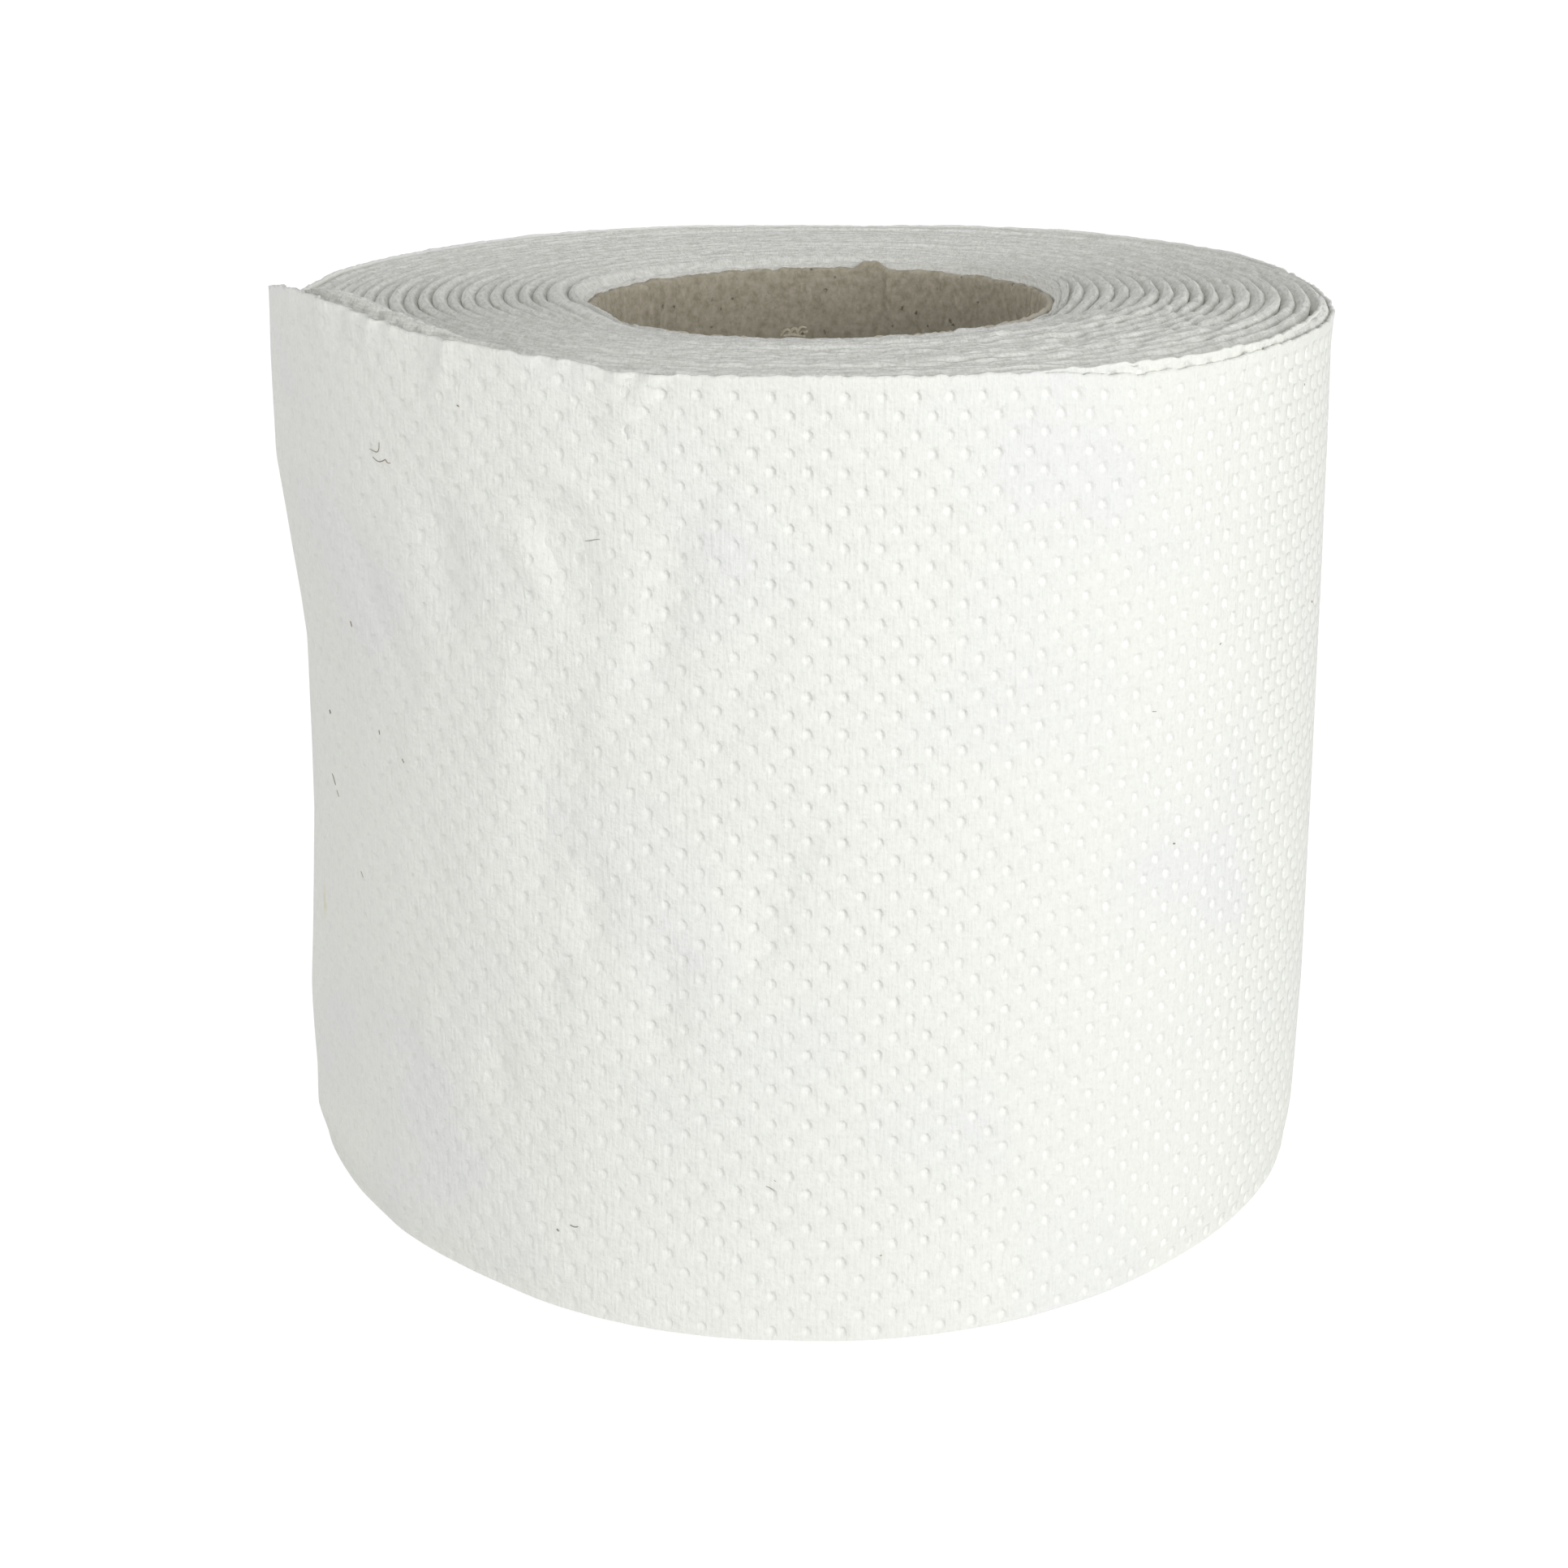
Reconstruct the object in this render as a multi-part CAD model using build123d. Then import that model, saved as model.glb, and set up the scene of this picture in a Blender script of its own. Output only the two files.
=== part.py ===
"""A toilet paper roll standing on its end: one cardboard core tube, and one tissue web wound round it.

Millimetres, +Z up. The origin is on the core's axis, at the surface the roll stands on, and -Y is the front.
Seen from above the web winds outwards clockwise, and its last stretch hangs loose on the left.
"""

from build123d import *
import math
import os

# Driving dimensions of the roll
roll_height = 95.0
outer_radius = 55.4

# The cardboard tube, whose rim lies a little below the top of the turns
core_radius = 25.0
core_wall = 0.9
core_recess = 1.6
core_rim_bevel = 0.25
core_clearance = 0.1
# How far the core lies to the right of the middle of the turns
core_offset = 1.0

# The wound turns lie tight on each other: on top each turn's edge slopes up to a crest on its outer side
turn_count = 18
crest_height = 1.1
sheet_thickness = 0.35

# The loose tail: where it leaves the roll, the first gap behind it, its length, how much wider than the roll
# it curls at its bottom and top, and how far its top edge stands above the turns at its root and free end
tail_start_angle = -109.0
tail_gap = 0.2
tail_length = 57.0
tail_opening_bottom = 6.4
tail_opening_top = 3.8
tail_rise_start = 0.7
tail_rise_end = 2.9

# The outermost turn slipped down a little on the right, so that the turn inside it shows above
slip_depth = 1.4
slip_start_angle = -72.0
slip_end_angle = 20.0
slip_width = 0.5

web_bore_radius = core_radius + core_clearance
half_turns = 2 * turn_count
step_width = sheet_thickness + tail_gap
first_crest_radius = web_bore_radius + core_offset + sheet_thickness
turn_pitch = (outer_radius - step_width - first_crest_radius) / turn_count


def half_turn_arc(index, start_radius, pitch):
    """One half turn of a clockwise spiral drawn from two centres, as an arc from one side of the X axis to the other."""
    side = 1 if index % 2 == 0 else -1
    start = start_radius + index * pitch / 2
    end = start + pitch / 2
    middle = (start + end) / 2
    return ThreePointArc((side * start, 0), (-side * pitch / 4, -side * middle), (-side * end, 0))


def cut_above_half_turn(index):
    """What is missing above one half turn's sloping edge: its section revolved about that half turn's own centre."""
    side = 1 if index % 2 == 0 else -1
    radius = first_crest_radius + turn_pitch / 4 + index * turn_pitch / 2
    centre = -side * turn_pitch / 4
    inside = centre + side * radius
    outside = inside + side * turn_pitch
    low, high = roll_height - crest_height, roll_height + crest_height
    outline = [(inside, 0, low), (outside, 0, roll_height), (outside, 0, high), (inside, 0, high)]
    return revolve(make_face(Polyline(*outline, close=True)), Axis((centre, 0, 0), (0, 0, -1)), revolution_arc=180)


def wound_web():
    """The wound turns: a disc with a small step where the outermost turn ends, and a crest on each turn."""
    boundary = [half_turn_arc(i, outer_radius - step_width, step_width) for i in range(2)]
    step = Line((outer_radius, 0), (outer_radius - step_width, 0))
    disc = extrude(make_face(Curve() + boundary + step), roll_height)
    return disc - [cut_above_half_turn(i) for i in range(half_turns - 2)]


def loose_tail():
    """The loose tail: a strip of the sheet turned about a leaning axis, so that it leaves the roll along its
    surface and stands off further below than above, with its top edge cut along a rising line."""
    lean = Vector(tail_opening_top - tail_opening_bottom, 0, -roll_height)
    axis = Axis((-tail_opening_bottom, 0, 0), lean)
    margin = 2 * tail_rise_end
    root = Pos(outer_radius, 0, -margin) * Rectangle(
        sheet_thickness, roll_height + 2 * margin, align=(Align.MAX, Align.MIN)
    ).rotate(Axis.X, 90)
    sweep = tail_length / (outer_radius + (tail_opening_bottom + tail_opening_top) / 2)
    sheet = revolve(root, axis, revolution_arc=math.degrees(sweep))
    start = Vector(outer_radius, 0, roll_height + tail_rise_start)
    end = Vector(outer_radius * math.cos(sweep), -outer_radius * math.sin(sweep), roll_height + tail_rise_end)
    along = (end - start).normalized()
    across = Vector(0, 0, 1).cross(along).normalized()
    top_edge = Plane(origin=start, x_dir=along, z_dir=along.cross(across))
    return split(split(sheet, bisect_by=top_edge, keep=Keep.BOTTOM), bisect_by=Plane.XY, keep=Keep.TOP)


def slipped_edge():
    """The material missing above the outermost turn where it has slipped down on the right."""
    sweep = slip_end_angle - slip_start_angle
    ring = Circle(outer_radius + slip_width) - Circle(outer_radius - slip_width)
    band = Pos(0, 0, roll_height - slip_depth) * extrude(ring, 2 * slip_depth)
    wedge = [(0, 0)]
    reach = 2 * outer_radius
    for fraction in (0, 0.5, 1):
        angle = math.radians(slip_start_angle + sweep * fraction)
        wedge.append((reach * math.cos(angle), reach * math.sin(angle)))
    sector = extrude(make_face(Polyline(*wedge, close=True)), 2 * roll_height)
    return band & sector


def core_tube():
    """The cardboard tube, with its upper cut rim bevelled a little inside."""
    height = roll_height - core_recess
    tube = Cylinder(core_radius, height, align=(Align.CENTER, Align.CENTER, Align.MIN))
    tube -= Cylinder(core_radius - core_wall, height, align=(Align.CENTER, Align.CENTER, Align.MIN))
    inner_rims = tube.edges().filter_by(GeomType.CIRCLE).filter_by(lambda e: e.radius < core_radius - core_wall / 2)
    return chamfer(inner_rims.sort_by(Axis.Z)[-1], core_rim_bevel)


def tissue_web():
    """The whole sheet of tissue: the wound turns and the loose tail, turned so that the tail is on the left, and
    placed round the core."""
    web = Rot(0, 0, tail_start_angle) * (wound_web() + loose_tail()) - slipped_edge()
    return Pos(-core_offset, 0, 0) * web - extrude(Circle(web_bore_radius), roll_height)


nodes = {
    "core_tube": core_tube(),
    "tissue_web": tissue_web(),
}

os.makedirs("parts", exist_ok=True)
for name, shape in nodes.items():
    export_step(shape, f"parts/{name}.step")
    print(name, "volume", round(shape.volume, 1), "solids", len(shape.solids()), "valid", shape.is_valid)
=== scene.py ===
"""Looks of a toilet paper roll that stands on its end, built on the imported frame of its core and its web.

Lengths here are millimetres round the middle of the wound turns, and become metres where a mesh is made.
An azimuth is in degrees from +X towards +Y, so that -90 is the front. A range is given to window() as its
start, its end and the ease beyond both, and to ramp() as its start and its length.
"""

import logging
import math
from dataclasses import dataclass, field
from enum import Enum
from functools import partial
from typing import Any, Callable

import bpy
import numpy as np
from mathutils import Matrix, Vector


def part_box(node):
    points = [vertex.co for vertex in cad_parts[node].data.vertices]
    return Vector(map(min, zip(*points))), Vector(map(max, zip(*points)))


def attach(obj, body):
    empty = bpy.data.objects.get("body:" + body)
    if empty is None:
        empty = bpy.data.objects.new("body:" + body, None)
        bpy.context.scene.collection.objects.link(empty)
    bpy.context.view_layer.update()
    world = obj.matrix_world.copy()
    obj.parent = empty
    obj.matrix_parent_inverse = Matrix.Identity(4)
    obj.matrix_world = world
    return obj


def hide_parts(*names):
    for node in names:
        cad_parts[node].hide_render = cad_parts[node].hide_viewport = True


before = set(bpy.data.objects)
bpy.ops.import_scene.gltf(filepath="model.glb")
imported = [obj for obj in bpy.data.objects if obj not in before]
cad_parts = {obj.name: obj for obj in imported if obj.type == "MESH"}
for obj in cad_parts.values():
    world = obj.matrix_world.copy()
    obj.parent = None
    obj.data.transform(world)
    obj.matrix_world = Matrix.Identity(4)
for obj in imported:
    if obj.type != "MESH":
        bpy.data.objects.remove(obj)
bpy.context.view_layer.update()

log = logging.getLogger("roll")
AddNode = Callable[..., bpy.types.Node]
Array = np.ndarray

# Sizes that the solids have too
MM = 0.001
CORE_LOW, CORE_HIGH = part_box("core_tube")
CORE_RADIUS = (CORE_HIGH.x - CORE_LOW.x) / 2 / MM
CORE_TOP = CORE_HIGH.z / MM
CORE_RECESS = 1.6
CORE_WALL = 0.9
CORE_CLEARANCE = 0.1
CORE_OFFSET = 1.0
BORE_RADIUS = CORE_RADIUS + CORE_CLEARANCE
ROLL_HEIGHT = CORE_TOP + CORE_RECESS


def linear(colour: str) -> tuple[float, float, float, float]:
    """Turns an sRGB hex colour to the linear values that a shader takes.

    Args:
        colour: Six hex digits after a #.

    Returns:
        Linear red, green, blue and an alpha of 1.
    """
    parts = [int(colour[i:i + 2], 16) / 255 for i in (1, 3, 5)]
    red, green, blue = (c / 12.92 if c <= 0.04045 else ((c + 0.055) / 1.055) ** 2.4 for c in parts)
    return red, green, blue, 1.0


def add_node(
    tree: bpy.types.NodeTree,
    kind: str,
    values: dict | None = None,
    **settings: Any,
) -> bpy.types.Node:
    """Adds a node with its settings and links.

    Args:
        tree: The tree that gets the node.
        kind: The node's type name.
        values: What its input sockets get, by name or number: a value, an output socket to link, or a node,
            which stands for its first output.
        settings: The node's own properties.

    Returns:
        The new node.
    """
    node = tree.nodes.new(kind)
    for name, value in settings.items():
        setattr(node, name, value)
    for key, value in (values or {}).items():
        if isinstance(value, bpy.types.Node):
            value = value.outputs[0]
        if isinstance(value, bpy.types.NodeSocket):
            tree.links.new(value, node.inputs[key])
        else:
            node.inputs[key].default_value = value
    return node


def empty_tree(owner: bpy.types.ID) -> AddNode:
    """Empties the nodes of a material or a world.

    Args:
        owner: The material or world.

    Returns:
        What adds a node to it.
    """
    owner.use_nodes = True
    owner.node_tree.nodes.clear()
    return partial(add_node, owner.node_tree)


def smooth_step(x: Array) -> Array:
    """Rises smoothly from 0 to 1 as x does."""
    x = np.clip(x, 0, 1)
    return x * x * (3 - 2 * x)


def ramp(x: Array, start: float, length: float) -> Array:
    """Rises smoothly from 0 at start to 1 at the end of its length."""
    return smooth_step((x - start) / length)


def window(x: Array, start: float, end: float, ease: float) -> Array:
    """Is 1 between start and end, and eases to 0 outside them.

    Args:
        x: Where it is read.
        start: Where the full stretch starts.
        end: Where the full stretch ends.
        ease: How long each ease is.

    Returns:
        Values from 0 to 1.
    """
    return smooth_step((x - start + ease) / ease) * smooth_step((end + ease - x) / ease)


def centred(azimuth: Array) -> Array:
    """The same azimuth between -180 and 180 degrees."""
    return (azimuth + 180) % 360 - 180


def polar(radius: Array, azimuth: Array, z: Array) -> Array:
    """Points in space, one row each, from radii, azimuths in degrees and heights."""
    turn = np.radians(azimuth)
    return np.stack([radius * np.cos(turn), radius * np.sin(turn), z + 0 * turn], axis=-1)


@dataclass(frozen=True)
class Ripple:
    """One layer of unevenness: its strength, its wavelengths both ways, and where the noise is read."""

    strength: float
    length: float
    height: float = math.inf
    start: float = 0.0
    lane: float = 0.0


class SmoothNoise:
    """Seeded noise from -1 to 1 that varies smoothly over a grid of random values."""

    SIZE = 256

    def __init__(self, seed: int) -> None:
        """Draws the grid's values."""
        self.grid = np.random.default_rng(seed).uniform(-1, 1, (self.SIZE, self.SIZE))

    def at(self, x: Array, y: Array | float = 0.0) -> Array:
        """Reads the noise.

        Args:
            x: Place along the first axis, in wavelengths.
            y: Place along the second axis, in wavelengths.

        Returns:
            Values from -1 to 1.
        """
        x, y = np.broadcast_arrays(np.asarray(x, float), np.asarray(y, float))
        column, row = np.floor(x).astype(int), np.floor(y).astype(int)
        across, up = smooth_step(x - column), smooth_step(y - row)
        left, right = column % self.SIZE, (column + 1) % self.SIZE
        below, above = (self.grid[left, r] * (1 - across) + self.grid[right, r] * across
                        for r in (row % self.SIZE, (row + 1) % self.SIZE))
        return below * (1 - up) + above * up

    def layered(self, ripples: tuple, x: Array, y: Array | float = 0.0) -> Array:
        """Adds up layers of noise.

        Args:
            ripples: The layers.
            x: Place along the first axis.
            y: Place along the second axis.

        Returns:
            The layers' sum.
        """
        return sum(r.strength * self.at(x / r.length + r.start, y / r.height + r.lane) for r in ripples)


def mesh_object(
    name: str,
    points: Array,
    faces: Array,
    finish: bpy.types.Material,
    uv: Array | None = None,
    normals: Array | None = None,
    paleness: Array | None = None,
) -> bpy.types.Object:
    """Makes an object at the origin from points in millimetres round the middle of the turns.

    Args:
        name: The object's name.
        points: One row a vertex.
        faces: Three vertex numbers a row.
        finish: Its material.
        uv: A place on the pattern for each vertex, in millimetres.
        normals: The shading normal of each vertex.
        paleness: How far the finish pales at each vertex, from 0 to 1: a painted highlight on pressed marks,
            and a paler tone on a cut rim.

    Returns:
        The new object, linked to the scene.
    """
    mesh = bpy.data.meshes.new(name)
    mesh.from_pydata((points - (CORE_OFFSET, 0, 0)) * MM, [], faces.tolist())
    mesh.shade_smooth()
    if uv is not None:
        layer = mesh.uv_layers.new(name="sheet_mm")
        corners = np.empty(len(mesh.loops), int)
        mesh.loops.foreach_get("vertex_index", corners)
        layer.data.foreach_set("uv", uv[corners].astype(np.float32).ravel())
    if normals is not None:
        mesh.normals_split_custom_set_from_vertices(normals)
    # A painted highlight on pressed marks, or the paler tone of a cut rim
    if paleness is not None:
        values = mesh.attributes.new("paleness", "FLOAT", "POINT").data
        values.foreach_set("value", paleness.astype(np.float32))
    mesh.materials.append(finish)
    piece = bpy.data.objects.new(name, mesh)
    bpy.context.scene.collection.objects.link(piece)
    return piece


def face_normals(points: Array, faces: Array) -> Array:
    """The normal of each triangle, twice as long as its area."""
    corner = points[faces]
    return np.cross(corner[:, 1] - corner[:, 0], corner[:, 2] - corner[:, 0])


def vertex_normals(points: Array, faces: Array) -> Array:
    """Works out the normals of a triangle mesh, each face weighing as much as its area.

    Args:
        points: One row a vertex.
        faces: Three vertex numbers a row.

    Returns:
        A unit normal for each vertex.
    """
    total = np.zeros_like(points)
    for corner in faces.T:
        np.add.at(total, corner, face_normals(points, faces))
    return total / np.maximum(np.linalg.norm(total, axis=1, keepdims=True), 1e-12)


def triangles_of(mesh: bpy.types.Mesh) -> Array:
    """Lists a mesh's triangles.

    Args:
        mesh: The mesh.

    Returns:
        Three vertex numbers a row.
    """
    mesh.calc_loop_triangles()
    corners = np.empty(len(mesh.loop_triangles) * 3, np.int32)
    mesh.loop_triangles.foreach_get("vertices", corners)
    return corners.reshape(-1, 3)


def values_of(rows: bpy.types.bpy_prop_collection, name: str, width: int = 1) -> Array:
    """Reads a number or a vector from each vertex.

    Args:
        rows: The mesh's vertices, or an attribute's data.
        name: What is read.
        width: How many numbers it has.

    Returns:
        One row a vertex.
    """
    values = np.empty(len(rows) * width, np.float32)
    rows.foreach_get(name, values)
    return values.reshape(-1, width).astype(float)


def solid_faces(points: Array, faces: Array) -> Array:
    """Turns a closed triangle mesh the right way out.

    Args:
        points: One row a vertex.
        faces: Three vertex numbers a row.

    Returns:
        The faces, all turned round if they point inwards.
    """
    volume = (points[faces[:, 0]] * face_normals(points, faces)).sum()
    return faces if volume > 0 else faces[:, ::-1]


def lathed(rows: list[tuple], azimuth: Array, middle: float = 0.0) -> tuple[Array, Array]:
    """Joins rings of points to a closed tube.

    Args:
        rows: The radius and the height of each ring, once round the wall's section.
        azimuth: The azimuths of a ring's points.
        middle: The place of the rings' middle along X.

    Returns:
        Points and triangles.
    """
    points = np.concatenate([polar(radius, azimuth, z) + (middle, 0, 0) for radius, z in rows])
    here = np.arange(len(azimuth))
    following = np.roll(here, -1)
    faces = []
    for row in range(len(rows)):
        below, above = row * len(here), (row + 1) % len(rows) * len(here)
        faces += [np.stack((below + here, below + following, above + following), axis=-1),
                  np.stack((below + here, above + following, above + here), axis=-1)]
    return points, solid_faces(points, np.concatenate(faces))


def rim_faces(outer: Array, partner: Array) -> Array:
    """Closes the edges between a sheet's outer face and its inner one.

    Args:
        outer: The triangles of the outer face.
        partner: The point behind each outer point, on the inner face.

    Returns:
        The triangles of the rims.
    """
    edges = np.concatenate([outer[:, [0, 1]], outer[:, [1, 2]], outer[:, [2, 0]]])
    keys = edges.min(axis=1) * (int(edges.max()) + 1) + edges.max(axis=1)
    _, first, count = np.unique(keys, return_index=True, return_counts=True)
    start, end = edges[first[count == 1]].T
    return np.concatenate([np.stack((end, start, partner[start]), axis=-1),
                           np.stack((end, partner[start], partner[end]), axis=-1)])


def place_keys(flat: Array) -> Array:
    """Gives each flat place a whole number, the same for places that coincide.

    Args:
        flat: Places on the sheet, in millimetres.

    Returns:
        One number a place, from its hundredths of a millimetre, none of which lies where rounding turns.
    """
    hundredths = np.floor(flat[:, :2] * 100 + 0.13).astype(np.int64)
    return hundredths[:, 0] * 1_000_000 + hundredths[:, 1]


def run_tree(tree: bpy.types.NodeTree, inputs: dict, start: bpy.types.ID | None = None) -> bpy.types.Mesh:
    """Runs a Geometry Nodes tree once and keeps the mesh that it makes.

    Args:
        tree: The tree, whose inputs have names.
        inputs: What each named input gets.
        start: The curve or mesh that the tree starts from, if it takes one.

    Returns:
        A plain mesh with no modifier on it.
    """
    carrier = bpy.data.objects.new(tree.name, start or bpy.data.meshes.new(tree.name))
    bpy.context.scene.collection.objects.link(carrier)
    modifier = carrier.modifiers.new(tree.name, "NODES")
    modifier.node_group = tree
    for item in tree.interface.items_tree:
        if getattr(item, "in_out", "") == "INPUT" and item.name in inputs:
            modifier[item.identifier] = inputs[item.name]
    carrier.update_tag()
    graph = bpy.context.evaluated_depsgraph_get()
    graph.update()
    mesh = bpy.data.meshes.new_from_object(carrier.evaluated_get(graph), depsgraph=graph)
    carrier.modifiers.remove(modifier)
    bpy.data.objects.remove(carrier)
    return mesh


def new_geometry_tree(name: str, **inputs: str) -> tuple[bpy.types.NodeTree, AddNode, dict]:
    """Starts a Geometry Nodes tree with named inputs.

    Args:
        name: The tree's name.
        inputs: The kind of each input, by name, with _ for a space.

    Returns:
        The tree, what adds a node to it, and the sockets of its inputs by name.
    """
    tree = bpy.data.node_groups.new(name, "GeometryNodeTree")
    for label, kind in {"Geometry": "Geometry", **inputs}.items():
        tree.interface.new_socket(label.replace("_", " "), in_out="INPUT", socket_type="NodeSocket" + kind)
    tree.interface.new_socket("Geometry", in_out="OUTPUT", socket_type="NodeSocketGeometry")
    return tree, partial(add_node, tree), tree.nodes.new("NodeGroupInput").outputs


def end_geometry_tree(add: AddNode, result: bpy.types.Node, material: bpy.types.Material) -> None:
    """Ends a tree in Realize Instances and Set Material.

    Args:
        add: What adds a node to the tree.
        result: The node that gives the geometry.
        material: The finish that it gets.
    """
    real = add("GeometryNodeRealizeInstances", {"Geometry": result})
    dressed = add("GeometryNodeSetMaterial", {"Geometry": real, "Material": material})
    add("NodeGroupOutput", {0: dressed})


class Side(Enum):
    """Which face of the sheet a layer is."""

    OUTER = 1
    INNER = -1


@dataclass(frozen=True)
class Finish:
    """What a material is called, and how rough and how shiny its surface is."""

    name: str = "plain"
    roughness: float = 0.5
    specular: float = 0.5

    def pattern(self, add: AddNode) -> dict[str, Any]:
        """Adds the nodes of the pattern, and says which of the shader's sockets they feed."""
        return {}

    def build(self) -> bpy.types.Material:
        """Makes the material.

        Returns:
            The material, with one shader.
        """
        material = bpy.data.materials.new(self.name)
        add = empty_tree(material)
        even = {"Roughness": self.roughness, "Specular IOR Level": self.specular}
        shader = add("ShaderNodeBsdfPrincipled", self.pattern(add) | even)
        add("ShaderNodeOutputMaterial", {"Surface": shader})
        return material


@dataclass(frozen=True)
class CrepedTissue(Finish):
    """Two-ply bleached tissue paper, creped off a drying cylinder and embossed with pins.

    Creping leaves fine ridges across the sheet, which run up and down the roll. The paper is matt, with a
    slight satin sheen, and its fibres leave it a little cloudy. It is a little darker in the creping's low
    places, partly from thinner paper and partly as painted shade of the ridges. The pin marks get a painted
    highlight.
    Sizes here are in millimetres, and a ridge is drawn coarser than the real one, which is too fine to show.
    """

    name: str = "creped_tissue_paper"
    roughness: float = 0.6
    specular: float = 0.35
    colour: str = "#F0F1EB"
    cool: str = "#EDEEEC"
    # Painted highlight on the pin marks
    mark_highlight: str = "#FBFBF8"
    cloud_size: float = 28.5714
    stain: str = "#E3DDBE"
    stain_place: tuple = (-49.5, 31.0)
    stain_size: tuple = (0.9, 2.6)
    stain_strength: float = 0.7
    ridge_size: tuple = (0.36, 2.8)
    felt_size: float = 1 / 1.9
    thin_range: tuple = (0.78, 1.1)
    # Darker tone in the creping's low places: partly thinner paper, partly painted shade of the ridges
    thinness_and_shade: float = 0.955
    relief: float = 0.16

    def pattern(self, add: AddNode) -> dict[str, Any]:
        """Adds the clouds, a small stain, the painted highlight on the pressed marks and the creping with its
        partly painted shade, by the sheet's own millimetres.

        Args:
            add: What adds a node to the material.

        Returns:
            The colour and the normal.
        """
        sheet = add("ShaderNodeUVMap", uv_map="sheet_mm")
        cloud = add("ShaderNodeTexNoise", {"Vector": sheet, "Scale": 1 / self.cloud_size, "Detail": 2.0})
        cloudy = add("ShaderNodeMapRange", {"Value": cloud, "From Min": 0.5, "From Max": 0.68})
        (x, y), (width, height) = self.stain_place, self.stain_size
        moved = add("ShaderNodeMapping", {
            "Vector": sheet, "Location": (-x / width, -y / height, 0), "Scale": (1 / width, 1 / height, 1)})
        away = add("ShaderNodeVectorMath", {0: moved}, operation="LENGTH").outputs["Value"]
        stained = add("ShaderNodeMapRange", {"Value": away, "To Min": self.stain_strength, "To Max": 0.0})
        # Painted highlight on the pin marks, as strong as the vertex attribute says
        pressed = add("ShaderNodeAttribute", attribute_name="paleness").outputs["Fac"]
        colour = linear(self.colour)
        for share, tone in ((cloudy, self.cool), (stained, self.stain), (pressed, self.mark_highlight)):
            mixed = add("ShaderNodeMix", {"Factor": share, 6: colour, 7: linear(tone)}, data_type="RGBA")
            colour = mixed.outputs[2]
        width, height = self.ridge_size
        ridged = add("ShaderNodeMapping", {"Vector": sheet, "Scale": (1 / width, 1 / height, 1)})
        ridges = add("ShaderNodeTexNoise", {"Vector": ridged, "Scale": 1.0, "Detail": 3.0})
        felted = add("ShaderNodeTexNoise", {"Vector": sheet, "Scale": 1 / self.felt_size, "Detail": 5.0})
        both = add("ShaderNodeMath", {0: ridges, 1: felted}, operation="ADD")
        # Darker where the creping is low: partly thinner paper, partly painted shade of the ridges
        low, high = self.thin_range
        thin = add("ShaderNodeMapRange", {
            "Value": both, "From Min": low, "From Max": high, "To Min": self.thinness_and_shade, "To Max": 1.0})
        faint = add("ShaderNodeVectorMath", {0: colour, "Scale": thin}, operation="SCALE")
        creped = add("ShaderNodeBump", {"Strength": 0.8, "Distance": self.relief * MM, "Height": ridges})
        rough = add("ShaderNodeBump", {
            "Strength": 0.8, "Distance": self.relief * MM, "Height": felted, "Normal": creped})
        return {"Base Color": faint, "Normal": rough}


@dataclass(frozen=True)
class StackedTissue(Finish):
    """The cut edges of many layers of tissue, slit by a rotary blade and wound tight.

    Each layer shows as a fine broken line along the turns, pale where a fibre edge stands up, over a grey
    base that is painted shade of the gaps between the layers. The lines are drawn coarser than the layers,
    which are too fine to show. Sizes here are in millimetres.
    """

    name: str = "slit_tissue_edges"
    roughness: float = 0.8
    specular: float = 0.25
    pale: str = "#F8F8F4"
    # Painted shade of the gaps between the layers: the base of the edges' colour
    shade: str = "#D8D9D2"
    dash: str = "#FFFFFD"
    layer_size: tuple = (2.6, 0.26)
    fuzz_size: float = 1 / 2.3
    dash_size: tuple = (2.0, 1 / 2.6)
    dash_strength: float = 0.8
    relief: float = 0.22

    def pattern(self, add: AddNode) -> dict[str, Any]:
        """Adds the lines of the layers and brighter dashes, which follow the spiral of the turns.

        Args:
            add: What adds a node to the material.

        Returns:
            The colour and the normal.
        """
        spiral = add("ShaderNodeUVMap", uv_map="sheet_mm")
        length, width = self.layer_size
        lined = add("ShaderNodeMapping", {"Vector": spiral, "Scale": (1 / length, 1 / width, 1)})
        lines = add("ShaderNodeTexNoise", {"Vector": lined, "Scale": 1.0, "Detail": 4.0, "Roughness": 0.6})
        fuzz = add("ShaderNodeTexNoise", {
            "Vector": spiral, "Scale": 1 / self.fuzz_size, "Detail": 5.0, "Roughness": 0.65})
        both = add("ShaderNodeMath", {0: lines, 1: fuzz}, operation="ADD")
        toned = add("ShaderNodeMapRange", {"Value": both, "From Min": 0.8, "From Max": 1.14})
        length, width = self.dash_size
        dashed = add("ShaderNodeMapping", {"Vector": spiral, "Scale": (1 / length, 1 / width, 1)})
        dashes = add("ShaderNodeTexNoise", {"Vector": dashed, "Scale": 1.0, "Detail": 3.0})
        few = add("ShaderNodeMapRange", {
            "Value": dashes, "From Min": 0.64, "From Max": 0.7, "To Max": self.dash_strength})
        # The base is the painted shade between the layers
        colour = linear(self.shade)
        for share, tone in ((toned, self.pale), (few, self.dash)):
            mixed = add("ShaderNodeMix", {"Factor": share, 6: colour, 7: linear(tone)}, data_type="RGBA")
            colour = mixed.outputs[2]
        bump = add("ShaderNodeBump", {"Strength": 0.8, "Distance": self.relief * MM, "Height": both})
        return {"Base Color": colour, "Normal": bump}


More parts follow.
